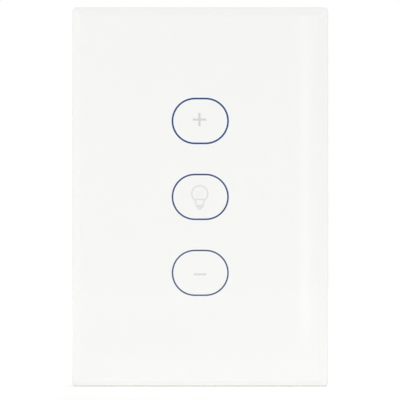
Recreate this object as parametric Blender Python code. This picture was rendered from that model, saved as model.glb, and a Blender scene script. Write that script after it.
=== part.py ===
# Smart touch dimmer switch: a glass front panel that pulls off a wall-box mechanism.
#
# Metres. X runs to the right seen from the front, Z runs up, and Y runs into the wall.
# The origin is the centre of the plate, in the plane of the wall. The glass is at the front (-Y),
# and the rear housing goes into the wall box (+Y).

import math

import bmesh
import bpy
from mathutils import Matrix

# Glass plate
PLATE_WIDTH = 0.081
PLATE_HEIGHT = 0.120
GLASS_THICKNESS = 0.004
GLASS_CORNER_RADIUS = 0.0012
GLASS_BEVEL_WIDTH = 0.0027
GLASS_BEVEL_DEPTH = 0.0009
GLASS_ARRIS = 0.0003
TAPE_THICKNESS = 0.0004
TAPE_WIDTH = 0.003

# Keys on the glass
KEY_WIDTH = 0.01756
KEY_HEIGHT = 0.01415
KEY_SPACING = 0.024
OUTLINE_WIDTH = 0.00036
OUTLINE_DEPTH = 0.00015
OUTLINE_GAP = 0.00003

# Gaps between neighbours
SEAT_GAP = 0.00015
FIT_GAP = 0.0003
RUNNING_GAP = 0.0002

# Panel frame behind the glass
GLASS_OVERHANG = 0.0006
FRAME_WALL = 0.0018
FRAME_WEB = 0.0012
FRAME_TO_WALL = 0.0004
FRAME_RIB = 0.0012
HOOK_LENGTH = 0.009
HOOK_HEIGHT = 0.0012
HOOK_SETBACK = 0.0008
PRY_NOTCH_WIDTH = 0.012
PRY_NOTCH_DEPTH = 0.0014
PANEL_GAP = 0.0006

# Light guides
GUIDE_RING = 0.0009
GUIDE_FLANGE = 0.001
GUIDE_FLANGE_THICKNESS = 0.0006
GUIDE_CREST = 0.0004

# Touch springs
SPRING_RADIUS = 0.0038
SPRING_WIRE = 0.00025
SPRING_CLEARANCE = 0.0006
SPRING_TURNS = 3

# Touch board and what is on it
TOUCH_BOARD_WIDTH = 0.050
TOUCH_BOARD_END = 0.0019
TOUCH_BOARD_THICKNESS = 0.0012
BOARD_CORNER_RADIUS = 0.0015
LED_LENGTH = 0.0016
LED_WIDTH = 0.0010
LED_HEIGHT = 0.0007
LED_LENS_SHARE = 0.75
CHIP_WIDTH = 0.0064
CHIP_LENGTH = 0.0070
CHIP_HEIGHT = 0.0007
BOARD_SCREW_RADIUS = 0.0010
BOARD_SCREW_HEAD_RADIUS = 0.0018
BOARD_SCREW_HEAD = 0.0010
BOARD_SCREW_INSET = 0.0032
BOARD_BOSS_RADIUS = 0.0023
BOARD_BOSS_HEIGHT = 0.0011

# Mounting frame
FLOOR_THICKNESS = 0.0022
RIM_WALL = 0.0016
RIM_TO_WEB = 0.0006
RIM_CORNER_RADIUS = 0.0025
BLIND_WEB = 0.0008
WALL_SLOT_WIDTH = 0.0046
WALL_SLOT_LENGTH = 0.0082
WALL_SLOT_OFFSET = 0.0070
WALL_SLOT_LAND = 0.0014
WALL_SLOT_SINK = 0.0006
POST_HEIGHT = 0.0035
BACK_POCKET_DEPTH = 0.0010
BACK_POCKET_LAND = 0.0016
BACK_POCKET_CELLS = 3
RIDGE_RECESS = 0.0005

# Rear housing
HOUSING_WALL = 0.0018
HOUSING_CORNER_RADIUS = 0.003
HOUSING_CHAMFER = 0.0012
COLUMN_WALL = 0.0009
COLUMN_RIM = 0.0011
COLUMN_SEAT = 0.0016
HOUSING_SCREW_RADIUS = 0.0011
HOUSING_SCREW_HEAD_RADIUS = 0.0021
HOUSING_SCREW_HEAD = 0.0016
VENT_WIDTH = 0.0014
VENT_PITCH = 0.0034
VENT_LENGTH = 0.015
VENT_END_STEPS = 4
VENT_COUNT = 6
SIDE_VENT_LENGTH = 0.0075
LEDGE_WIDTH = 0.0016
LEDGE_PLACES = (0.25, 0.85)

# Terminals
WIRE_SPACE = 0.0048
CLAMP_INNER_WIDTH = 0.0048
CLAMP_LENGTH = 0.0055
CLAMP_WALL = 0.0009
CLAMP_NUT = 0.0016
CLAMP_TRAVEL = 0.003
CONTACT_WIDTH = 0.0034
CONTACT_THICKNESS = 0.0008
CONTACT_LEG_INSET = 0.0020
TERMINAL_SCREW_RADIUS = 0.0015
TERMINAL_HEAD_RADIUS = 0.0024
TERMINAL_HEAD = 0.0017
TERMINAL_LIP = 0.0005
TERMINAL_LIP_REACH = 0.0003
SCREW_SLOT_WIDTH = 0.0007
SCREW_SLOT_REACH = 0.6
BAY_WALL = 0.0016
BAY_FLOOR = 0.0012
ENTRY_WALL = 0.003
ENTRY_FLARE = 0.0005
PARTITION = 0.0012

# Power board and what is on it
POWER_BOARD_THICKNESS = 0.0016
BOARD_GAP = 0.0004
BOARD_EDGE = 0.0014
ROW_GAP = 0.0020
COMPONENT_GAP = 0.0030
BOARDS_SPACE = 0.0030
LEAD_RADIUS = 0.0004
LEAD_TAIL = 0.0012
MODULE_WIDTH = 0.012
MODULE_LENGTH = 0.016
MODULE_BOARD = 0.0008
MODULE_PINS = 4
SHIELD_MARGIN = 0.0010
SHIELD_LENGTH = 0.010
SHIELD_HEIGHT = 0.0020
PIN_COUNT = 8
PIN_PITCH = 0.0020
PIN_SIZE = 0.0005
PLUG_WIDTH = 0.0022
PLUG_HEIGHT = 0.0015
FUSE_LENGTH = 0.0100
FUSE_RADIUS = 0.0018
FUSE_CAP_LENGTH = 0.0022
VARISTOR_RADIUS = 0.0048
VARISTOR_THICKNESS = 0.0036
VARISTOR_STANDOFF = 0.0012
CHOKE_RADIUS = 0.0047
CHOKE_HEIGHT = 0.0095
CHOKE_FLANGE = 0.0012
CHOKE_NECK = 0.0020
CHOKE_LEAD_SHARE = 0.6
COIL_INSET = 0.0006
FILM_WIDTH = 0.013
FILM_DEPTH = 0.006
FILM_HEIGHT = 0.011
RECTIFIER_WIDTH = 0.008
RECTIFIER_DEPTH = 0.0064
RECTIFIER_HEIGHT = 0.0030
CORE_WIDTH = 0.014
CORE_DEPTH = 0.0056
CORE_HEIGHT = 0.0105
CORE_LEG = 0.0026
CORE_YOKE = 0.0016
COIL_BULGE = 0.0033
TRANSFORMER_BASE = 0.0018
TRANSFORMER_PIN_SHARE = 0.75
BULK_RADIUS = 0.005
BULK_HEIGHT = 0.016
BULK_SPACING = 0.005
BULK_BEAD = 0.0004
TRANSISTOR_WIDTH = 0.010
TRANSISTOR_DEPTH = 0.0044
TRANSISTOR_HEIGHT = 0.0150
TRANSISTOR_LEG = 0.0030
TRANSISTOR_PITCH = 0.00254
TRANSISTOR_HOLE_RADIUS = 0.0016
TRANSISTOR_BODY_SHARE = 0.6
SINK_PLATE = 0.0016
SINK_FIN = 0.0016
SINK_FIN_THICKNESS = 0.0010
SINK_FINS = 7
SINK_MARGIN = 0.0015
TALLEST_CLEARANCE = 0.0008

# How finely round shapes are cut, and how far a cutter or a fused piece runs past a face
CORNER_STEPS = 4
END_STEPS = 10
OUTLINE_STEPS = 16
SLOT_STEPS = 5
ROUND_SIDES = 20
SMALL_SIDES = 12
LEAD_SIDES = 6
SPRING_STEPS = 12
PAST = 0.001
FUSE = 0.0003
SHARP_ANGLE = math.radians(35)

# Stack from the wall plane forwards, towards the glass
FLOOR_FRONT = -FLOOR_THICKNESS
BOSS_FRONT = FLOOR_FRONT - BOARD_BOSS_HEIGHT
TOUCH_BACK = BOSS_FRONT - SEAT_GAP
TOUCH_FRONT = TOUCH_BACK - TOUCH_BOARD_THICKNESS
LED_FRONT = TOUCH_FRONT - SEAT_GAP - LED_HEIGHT
GUIDE_BACK = LED_FRONT - SEAT_GAP
FLANGE_FRONT = GUIDE_BACK - GUIDE_FLANGE_THICKNESS
WEB_BACK = FLANGE_FRONT - SEAT_GAP
WEB_FRONT = WEB_BACK - FRAME_WEB
TAPE_BACK = WEB_FRONT - SEAT_GAP
TAPE_FRONT = TAPE_BACK - TAPE_THICKNESS
GLASS_BACK = TAPE_FRONT - SEAT_GAP
GLASS_FRONT = GLASS_BACK - GLASS_THICKNESS
GUIDE_FRONT = GLASS_BACK + SEAT_GAP
RIM_FRONT = WEB_BACK + RIM_TO_WEB
HOOK_BACK = -FRAME_TO_WALL - HOOK_SETBACK

# Outlines of the front half
KEYS = (("top", 1), ("middle", 0), ("bottom", -1))
FRAME_WIDTH = PLATE_WIDTH - 2 * GLASS_OVERHANG
FRAME_HEIGHT = PLATE_HEIGHT - 2 * GLASS_OVERHANG
RIM_WIDTH = FRAME_WIDTH - 2 * (FRAME_WALL + PANEL_GAP)
RIM_HEIGHT = FRAME_HEIGHT - 2 * (FRAME_WALL + PANEL_GAP)
GUIDE_WIDTH = KEY_WIDTH + 2 * GUIDE_RING
GUIDE_HEIGHT = KEY_HEIGHT + 2 * GUIDE_RING
SPRING_BORE = SPRING_RADIUS + SPRING_WIRE + SPRING_CLEARANCE
LED_OFFSET = (SPRING_BORE + GUIDE_WIDTH / 2) / 2
TOUCH_BOARD_HEIGHT = 2 * KEY_SPACING + GUIDE_HEIGHT + 2 * GUIDE_FLANGE + 2 * TOUCH_BOARD_END
BOARD_SCREW_X = TOUCH_BOARD_WIDTH / 2 - BOARD_SCREW_INSET
BOARD_SCREW_Z = TOUCH_BOARD_HEIGHT / 2 - BOARD_SCREW_INSET

# Terminal block: a bay for each clamp, seen along Y from the wall plane backwards
CLAMP_WIDTH = CLAMP_INNER_WIDTH + 2 * CLAMP_WALL
BAY_WIDTH = CLAMP_WIDTH + 2 * RUNNING_GAP
BAY_PITCH = BAY_WIDTH + BAY_WALL
BAY_LENGTH = CLAMP_LENGTH + 2 * RUNNING_GAP
TERMINALS = ("line", "neutral", "lamp")
BLOCK_WIDTH = len(TERMINALS) * BAY_PITCH + BAY_WALL
BLOCK_LENGTH = ENTRY_WALL + BAY_LENGTH + BAY_WALL
BLOCK_FRONT = FIT_GAP
BAY_FRONT = BLOCK_FRONT + BAY_FLOOR
CLAMP_FRONT = BAY_FRONT + RUNNING_GAP
WIRE_FRONT = CLAMP_FRONT + CLAMP_WALL
CONTACT_FRONT = WIRE_FRONT + WIRE_SPACE
CONTACT_BACK = CONTACT_FRONT + CONTACT_THICKNESS
NUT_FRONT = CONTACT_BACK + RUNNING_GAP
CLAMP_BACK = NUT_FRONT + CLAMP_NUT
BAY_BACK = CLAMP_BACK + CLAMP_TRAVEL + RUNNING_GAP
HEAD_FRONT = BAY_BACK + RUNNING_GAP
HEAD_BACK = HEAD_FRONT + TERMINAL_HEAD
LIP_FRONT = HEAD_BACK + RUNNING_GAP
BLOCK_BACK = LIP_FRONT + TERMINAL_LIP

# Power board: rows of parts from the terminals down, on its back face
POWER_FRONT = BOARDS_SPACE
POWER_BACK = POWER_FRONT + POWER_BOARD_THICKNESS
PART_FRONT = POWER_BACK + SEAT_GAP
TRANSFORMER_WIDTH = CORE_WIDTH
TRANSFORMER_DEPTH = CORE_DEPTH + 2 * COIL_BULGE
SINK_WIDTH = 2 * TRANSISTOR_WIDTH + COMPONENT_GAP + 2 * SINK_MARGIN
SINK_HEIGHT = TRANSISTOR_LEG + TRANSISTOR_HEIGHT
SINK_DEPTH = SINK_PLATE + SINK_FIN
ROWS = {
    "input": (FUSE_LENGTH, 2 * VARISTOR_RADIUS, 2 * CHOKE_RADIUS),
    "supply": (TRANSFORMER_WIDTH, RECTIFIER_WIDTH, FILM_WIDTH),
    "store": (2 * BULK_RADIUS, 2 * BULK_RADIUS, MODULE_WIDTH),
    "switch": (SINK_WIDTH,),
}
ROW_DEPTHS = {
    "input": max(2 * FUSE_RADIUS, VARISTOR_THICKNESS, 2 * CHOKE_RADIUS),
    "supply": max(TRANSFORMER_DEPTH, RECTIFIER_DEPTH, FILM_DEPTH),
    "store": max(2 * BULK_RADIUS, MODULE_BOARD + SEAT_GAP + SHIELD_HEIGHT),
    "switch": SINK_DEPTH + SEAT_GAP + TRANSISTOR_DEPTH,
}
PART_HEIGHT = max(
    2 * FUSE_RADIUS,
    VARISTOR_STANDOFF + 2 * VARISTOR_RADIUS,
    CHOKE_HEIGHT,
    FILM_HEIGHT,
    TRANSFORMER_BASE + SEAT_GAP + CORE_HEIGHT,
    BULK_HEIGHT,
    MODULE_LENGTH,
    SINK_HEIGHT,
)
LEG_ZONE = CONTACT_LEG_INSET + CONTACT_THICKNESS / 2 + 2 * BOARD_GAP + PLUG_WIDTH


def row_width(widths):
    return sum(widths) + COMPONENT_GAP * (len(widths) - 1)


POWER_WIDTH = max(row_width(widths) for widths in ROWS.values()) + 2 * BOARD_EDGE
POWER_HEIGHT = LEG_ZONE + sum(ROW_DEPTHS.values()) + ROW_GAP * len(ROW_DEPTHS) + BOARD_EDGE

# Rear housing round the power board and the terminal block
HOUSING_WIDTH = POWER_WIDTH + 2 * (BOARD_GAP + HOUSING_WALL)
HOUSING_HEIGHT = BLOCK_LENGTH + FIT_GAP + 2 * (HOUSING_WALL + BOARD_GAP) + POWER_HEIGHT
HOUSING_TOP = HOUSING_HEIGHT / 2
BLOCK_REAR = HOUSING_TOP - BLOCK_LENGTH
STEP_Z = BLOCK_REAR - FIT_GAP
MAIN_TOP = STEP_Z - HOUSING_WALL
POWER_TOP = MAIN_TOP - BOARD_GAP
POWER_BOTTOM = POWER_TOP - POWER_HEIGHT
HOUSING_FRONT = SEAT_GAP
MAIN_INNER_BACK = PART_FRONT + PART_HEIGHT + TALLEST_CLEARANCE
MAIN_BACK = MAIN_INNER_BACK + HOUSING_WALL
BAY_HOUSING_BACK = BLOCK_BACK
CONTACT_LEG_Z = POWER_TOP - CONTACT_LEG_INSET
HEADER_Z = CONTACT_LEG_Z - CONTACT_THICKNESS / 2 - BOARD_GAP - PLUG_WIDTH / 2
COUNTERBORE_RADIUS = HOUSING_SCREW_HEAD_RADIUS + RUNNING_GAP
COLUMN_RADIUS = COUNTERBORE_RADIUS + COLUMN_WALL
COLUMN_INSET = COLUMN_RADIUS + COLUMN_RIM
COLUMN_X = HOUSING_WIDTH / 2 - COLUMN_INSET
COLUMN_Z = HOUSING_TOP - COLUMN_INSET
COLUMN_FRONT = POST_HEIGHT + SEAT_GAP
COLUMN_SEAT_BACK = COLUMN_FRONT + COLUMN_SEAT
POST_RADIUS = COLUMN_INSET - HOUSING_WALL - BOARD_GAP
WALL_SLOT_Z = HOUSING_TOP + WALL_SLOT_OFFSET
BOSS_HOLE_BACK = -(FLOOR_THICKNESS + BLIND_WEB) / 2
POST_HOLE_FRONT = -(FLOOR_THICKNESS - BLIND_WEB) / 2
HEADER_LENGTH = PIN_COUNT * PIN_PITCH


# Outlines are lists of (x, z) points, counterclockwise seen from the front

def arc(centre_x, centre_z, radius, start, end, steps):
    points = []
    for step in range(steps + 1):
        angle = start + (end - start) * step / steps
        points.append((centre_x + radius * math.cos(angle), centre_z + radius * math.sin(angle)))
    return points


def rounded_rectangle(width, height, radius, x=0.0, z=0.0, steps=CORNER_STEPS):
    half_x = width / 2 - radius
    half_z = height / 2 - radius
    quarter = math.pi / 2
    points = []
    for corner, (side_x, side_z) in enumerate(((1, 1), (-1, 1), (-1, -1), (1, -1))):
        start = corner * quarter
        points += arc(x + side_x * half_x, z + side_z * half_z, radius, start, start + quarter, steps)
    return points


def rectangle(width, height, x=0.0, z=0.0):
    half_x = width / 2
    half_z = height / 2
    sides = ((1, 1), (-1, 1), (-1, -1), (1, -1))
    return [(x + side_x * half_x, z + side_z * half_z) for side_x, side_z in sides]


def stadium(width, height, x=0.0, z=0.0, steps=END_STEPS):
    radius = height / 2
    straight = width / 2 - radius
    quarter = math.pi / 2
    right = arc(x + straight, z, radius, -quarter, quarter, steps)
    left = arc(x - straight, z, radius, quarter, 3 * quarter, steps)
    return right + left


def circle(radius, x=0.0, z=0.0, sides=ROUND_SIDES):
    return arc(x, z, radius, 0.0, 2 * math.pi * (sides - 1) / sides, sides - 1)


# Solids

def new_object(name, mesh_maker, material=None):
    mesh = bpy.data.meshes.new(name)
    mesh_maker.to_mesh(mesh)
    mesh_maker.free()
    if material is not None:
        mesh.materials.append(material)
    piece = bpy.data.objects.new(name, mesh)
    bpy.context.scene.collection.objects.link(piece)
    return piece


def loft(name, sections, material=None):
    """A closed solid through (outline, y) sections, front first, with flat ends."""
    maker = bmesh.new()
    rings = []
    for outline, y in sections:
        rings.append([maker.verts.new((x, y, z)) for x, z in outline])
    for near, far in zip(rings, rings[1:]):
        for index in range(len(near)):
            following = (index + 1) % len(near)
            maker.faces.new((near[index], near[following], far[following], far[index]))
    maker.faces.new(rings[0])
    maker.faces.new(list(reversed(rings[-1])))
    bmesh.ops.recalc_face_normals(maker, faces=maker.faces)
    return new_object(name, maker, material)


def prism(name, outline, front, back, material=None):
    return loft(name, [(outline, front), (outline, back)], material)


def box(name, low, high, material=None):
    width = high[0] - low[0]
    height = high[2] - low[2]
    outline = rectangle(width, height, (low[0] + high[0]) / 2, (low[2] + high[2]) / 2)
    return prism(name, outline, low[1], high[1], material)


def eased_box(name, low, high, ease, material=None):
    """A box with a small chamfer on its back face and rounded upright edges, as a moulded case has."""
    width = high[0] - low[0]
    height = high[2] - low[2]
    centre = ((low[0] + high[0]) / 2, (low[2] + high[2]) / 2)
    outer = rounded_rectangle(width, height, ease, *centre, steps=2)
    inner = rounded_rectangle(width - ease, height - ease, ease / 2, *centre, steps=2)
    return loft(name, [(outer, low[1]), (outer, high[1] - ease / 2), (inner, high[1])], material)


def band(name, outer, inner, front, back, material=None):
    """A closed frame between an outer and an inner outline with the same number of points."""
    maker = bmesh.new()
    rings = []
    for outline, y in ((outer, front), (outer, back), (inner, back), (inner, front)):
        rings.append([maker.verts.new((x, y, z)) for x, z in outline])
    for near, far in zip(rings, rings[1:] + rings[:1]):
        for index in range(len(near)):
            following = (index + 1) % len(near)
            maker.faces.new((near[index], near[following], far[following], far[index]))
    bmesh.ops.recalc_face_normals(maker, faces=maker.faces)
    return new_object(name, maker, material)


def turned(name, profile, x=0.0, z=0.0, sides=ROUND_SIDES, material=None):
    """A solid turned round an axis along Y, from (radius, y) points, front first."""
    return loft(name, [(circle(radius, x, z, sides), y) for radius, y in profile], material)


def turned_ring(name, inner, outer, front, back, ease, x, z, sides, material=None):
    """A coil or washer round an axis along Y, with eased outer edges."""
    profile = [(inner, front), (outer - ease, front), (outer, front + ease), (outer, back - ease)]
    profile += [(outer - ease, back), (inner, back)]
    maker = bmesh.new()
    rings = []
    for radius, y in profile:
        rings.append([maker.verts.new((px, y, pz)) for px, pz in circle(radius, x, z, sides)])
    for near, far in zip(rings, rings[1:] + rings[:1]):
        for index in range(sides):
            following = (index + 1) % sides
            maker.faces.new((near[index], near[following], far[following], far[index]))
    bmesh.ops.recalc_face_normals(maker, faces=maker.faces)
    return new_object(name, maker, material)


def combine(piece, helper, operation):
    """Cuts a helper out of a piece, or fuses it on, and removes the helper."""
    modifier = piece.modifiers.new("combine", "BOOLEAN")
    modifier.operation = operation
    modifier.solver = "EXACT"
    modifier.object = helper
    depsgraph = bpy.context.evaluated_depsgraph_get()
    result = bpy.data.meshes.new_from_object(piece.evaluated_get(depsgraph))
    piece.modifiers.clear()
    before = piece.data
    piece.data = result
    bpy.data.meshes.remove(before)
    result.name = piece.name
    bpy.data.objects.remove(helper, do_unlink=True)


def cut(piece, helper):
    combine(piece, helper, "DIFFERENCE")


def fuse(piece, helper):
    combine(piece, helper, "UNION")


def joined(name, helpers):
    """One helper mesh from several that don't touch each other."""
    maker = bmesh.new()
    for helper in helpers:
        maker.from_mesh(helper.data)
        bpy.data.objects.remove(helper, do_unlink=True)
    return new_object(name, maker)


def place(piece, x, y, z, turn=0.0):
    piece.location = (x, y, z)
    piece.rotation_euler = (0.0, 0.0, turn)
    return piece


def material(name, colour, roughness, metallic=0.0):
    made = bpy.data.materials.new(name)
    made.use_nodes = True
    shader = made.node_tree.nodes["Principled BSDF"]
    shader.inputs["Base Color"].default_value = (*colour, 1.0)
    shader.inputs["Roughness"].default_value = roughness
    shader.inputs["Metallic"].default_value = metallic
    return made


def make_materials():
    return {
        "glass": material("white_coated_glass", (0.92, 0.92, 0.90), 0.06),
        "outline_top": material("outline_enamel_dark", (0.032, 0.040, 0.127), 0.3),
        "outline_middle": material("outline_enamel", (0.065, 0.076, 0.141), 0.3),
        "outline_bottom": material("outline_enamel_pale", (0.102, 0.112, 0.171), 0.3),
        "tape": material("foam_tape", (0.75, 0.75, 0.73), 0.9),
        "frame": material("white_frame_plastic", (0.86, 0.86, 0.84), 0.45),
        "guide": material("frosted_light_guide", (0.80, 0.83, 0.90), 0.35),
        "mounting": material("grey_frame_plastic", (0.70, 0.71, 0.71), 0.5),
        "housing": material("housing_plastic", (0.80, 0.80, 0.78), 0.5),
        "board": material("green_board", (0.02, 0.16, 0.07), 0.4),
        "spring": material("spring_steel", (0.72, 0.71, 0.68), 0.3, 1.0),
        "led": material("led_resin", (0.88, 0.88, 0.80), 0.3),
        "chip": material("chip_epoxy", (0.03, 0.03, 0.035), 0.5),
        "shield": material("tinned_shield", (0.70, 0.71, 0.72), 0.3, 1.0),
        "header": material("header_plastic", (0.04, 0.04, 0.045), 0.45),
        "terminal": material("terminal_plastic", (0.10, 0.11, 0.12), 0.45),
        "brass": material("contact_brass", (0.78, 0.60, 0.30), 0.3, 1.0),
        "steel": material("zinc_steel", (0.68, 0.69, 0.70), 0.35, 1.0),
        "aluminium": material("sink_aluminium", (0.74, 0.75, 0.76), 0.4, 1.0),
        "ferrite": material("ferrite", (0.06, 0.06, 0.06), 0.6),
        "copper": material("enamelled_copper", (0.55, 0.25, 0.10), 0.35, 0.8),
        "tape_wrap": material("coil_wrap", (0.75, 0.60, 0.10), 0.5),
        "film": material("film_case", (0.55, 0.30, 0.05), 0.4),
        "sleeve": material("capacitor_sleeve", (0.03, 0.04, 0.08), 0.4),
        "ceramic": material("fuse_ceramic", (0.82, 0.80, 0.75), 0.5),
        "disc": material("varistor_coating", (0.05, 0.18, 0.45), 0.45),
    }


# Front panel

def add_glass_panel(materials):
    """A slab with a wide ground bevel in front and a fine arris along its outer edges."""
    def outline(inset, radius):
        return rounded_rectangle(PLATE_WIDTH - 2 * inset, PLATE_HEIGHT - 2 * inset, radius)

    edge = outline(0.0, GLASS_CORNER_RADIUS)
    eased = outline(GLASS_ARRIS, GLASS_CORNER_RADIUS - GLASS_ARRIS)
    inner = outline(GLASS_BEVEL_WIDTH, GLASS_CORNER_RADIUS / 4)
    bevel_back = GLASS_FRONT + GLASS_BEVEL_DEPTH
    sections = [(inner, GLASS_FRONT), (eased, bevel_back), (edge, bevel_back + GLASS_ARRIS)]
    sections += [(edge, GLASS_BACK - GLASS_ARRIS), (eased, GLASS_BACK)]
    glass = loft("glass_panel", sections, materials["glass"])
    grooves = []
    for key in (-1, 0, 1):
        outlines = key_outline(key * KEY_SPACING, OUTLINE_WIDTH / 2 + OUTLINE_GAP)
        grooves.append(band("groove", *outlines, GLASS_FRONT - PAST, GLASS_FRONT + OUTLINE_DEPTH))
    cut(glass, joined("key_grooves", grooves))
    return glass


def key_outline(z, half_width):
    """The outer and the inner edge of the line round a key."""
    outer = stadium(KEY_WIDTH + 2 * half_width, KEY_HEIGHT + 2 * half_width, z=z, steps=OUTLINE_STEPS)
    inner = stadium(KEY_WIDTH - 2 * half_width, KEY_HEIGHT - 2 * half_width, z=z, steps=OUTLINE_STEPS)
    return outer, inner


def add_key_outline(name, z, material):
    """The coloured line round a key, filled into its groove flush with the glass."""
    line_back = GLASS_FRONT + OUTLINE_DEPTH - OUTLINE_GAP
    line = band(name, *key_outline(0.0, OUTLINE_WIDTH / 2), GLASS_FRONT, line_back, material)
    return place(line, 0.0, 0.0, z)


def add_glass_tape(materials):
    outer = rounded_rectangle(FRAME_WIDTH - FRAME_WALL, FRAME_HEIGHT - FRAME_WALL, GLASS_CORNER_RADIUS)
    width = FRAME_WIDTH - FRAME_WALL - 2 * TAPE_WIDTH
    height = FRAME_HEIGHT - FRAME_WALL - 2 * TAPE_WIDTH
    inner = rounded_rectangle(width, height, GLASS_CORNER_RADIUS)
    return band("glass_tape", outer, inner, TAPE_FRONT, TAPE_BACK, materials["tape"])


def add_panel_frame(materials):
    """A moulded tray: web with three windows, wall round it, ribs, snap ridges and a pry notch."""
    outer = rounded_rectangle(FRAME_WIDTH, FRAME_HEIGHT, GLASS_CORNER_RADIUS)
    frame = prism("panel_frame", outer, WEB_FRONT, -FRAME_TO_WALL, materials["frame"])
    inner_width = FRAME_WIDTH - 2 * FRAME_WALL
    inner_height = FRAME_HEIGHT - 2 * FRAME_WALL
    hollow = rounded_rectangle(inner_width, inner_height, RIM_CORNER_RADIUS)
    cut(frame, prism("frame_hollow", hollow, WEB_BACK, PAST))
    windows = []
    for key in (-1, 0, 1):
        window = stadium(GUIDE_WIDTH + 2 * FIT_GAP, GUIDE_HEIGHT + 2 * FIT_GAP, z=key * KEY_SPACING)
        windows.append(prism("window", window, WEB_FRONT - PAST, WEB_BACK + PAST))
    cut(frame, joined("frame_windows", windows))

    upright_x = (TOUCH_BOARD_WIDTH / 2 + RIM_WIDTH / 2 - RIM_WALL) / 2
    cross_z = (WALL_SLOT_Z + RIM_HEIGHT / 2) / 2
    reach_x = RIM_WIDTH / 2 - RIM_WALL - PANEL_GAP
    reach_z = RIM_HEIGHT / 2 - RIM_WALL - PANEL_GAP
    half = FRAME_RIB / 2
    for side in (-1, 1):
        upright = side * upright_x
        low = (upright - half, WEB_BACK - FUSE, -reach_z)
        fuse(frame, box("rib_upright", low, (upright + half, TOUCH_FRONT, reach_z)))
        cross = side * cross_z
        low = (-reach_x, WEB_BACK - FUSE, cross - half)
        fuse(frame, box("rib_cross", low, (reach_x, TOUCH_FRONT, cross + half)))
    return frame


def add_snap_ridges(frame):
    """Two ridges on each long wall, which click over the rim of the mounting frame."""
    half_width = FRAME_WIDTH / 2 - FRAME_WALL
    reach = PANEL_GAP - SEAT_GAP
    ridges = []
    for side, centre_z in ridge_places():
        wall_x = side * (half_width + FUSE)
        tip_x = side * (half_width - reach)
        low = (min(wall_x, tip_x), HOOK_BACK - HOOK_HEIGHT, centre_z - HOOK_LENGTH / 2)
        high = (max(wall_x, tip_x), HOOK_BACK, centre_z + HOOK_LENGTH / 2)
        ridges.append(box("snap_ridge", low, high))
    fuse(frame, joined("snap_ridges", ridges))
    notch_low = (-PRY_NOTCH_WIDTH / 2, -FRAME_TO_WALL - PRY_NOTCH_DEPTH, -FRAME_HEIGHT / 2 - PAST)
    notch_high = (PRY_NOTCH_WIDTH / 2, PAST, -FRAME_HEIGHT / 2 + FRAME_WALL + PANEL_GAP / 2)
    cut(frame, box("pry_notch", notch_low, notch_high))


def ridge_places():
    """The side and the height of each snap ridge."""
    return [(side, end * FRAME_HEIGHT / 4) for side in (-1, 1) for end in (-1, 1)]


def add_light_guide(name, z, materials):
    """A frosted block with a hole for the spring and a narrow crest that lights the key's outline."""
    flange_width = GUIDE_WIDTH + 2 * GUIDE_FLANGE
    flange_height = GUIDE_HEIGHT + 2 * GUIDE_FLANGE
    body = stadium(GUIDE_WIDTH, GUIDE_HEIGHT)
    flange = stadium(flange_width, flange_height)
    face = GUIDE_FRONT + GUIDE_CREST
    sections = [(body, face), (body, FLANGE_FRONT), (flange, FLANGE_FRONT), (flange, GUIDE_BACK)]
    guide = loft(name, sections, materials["guide"])
    fuse(guide, band("crest", *key_outline(0.0, OUTLINE_WIDTH), GUIDE_FRONT, face + FUSE))
    cut(guide, turned("guide_bore", [(SPRING_BORE, face - PAST), (SPRING_BORE, GUIDE_BACK + PAST)]))
    return place(guide, 0.0, 0.0, z)


# Wall part, front side

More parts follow.
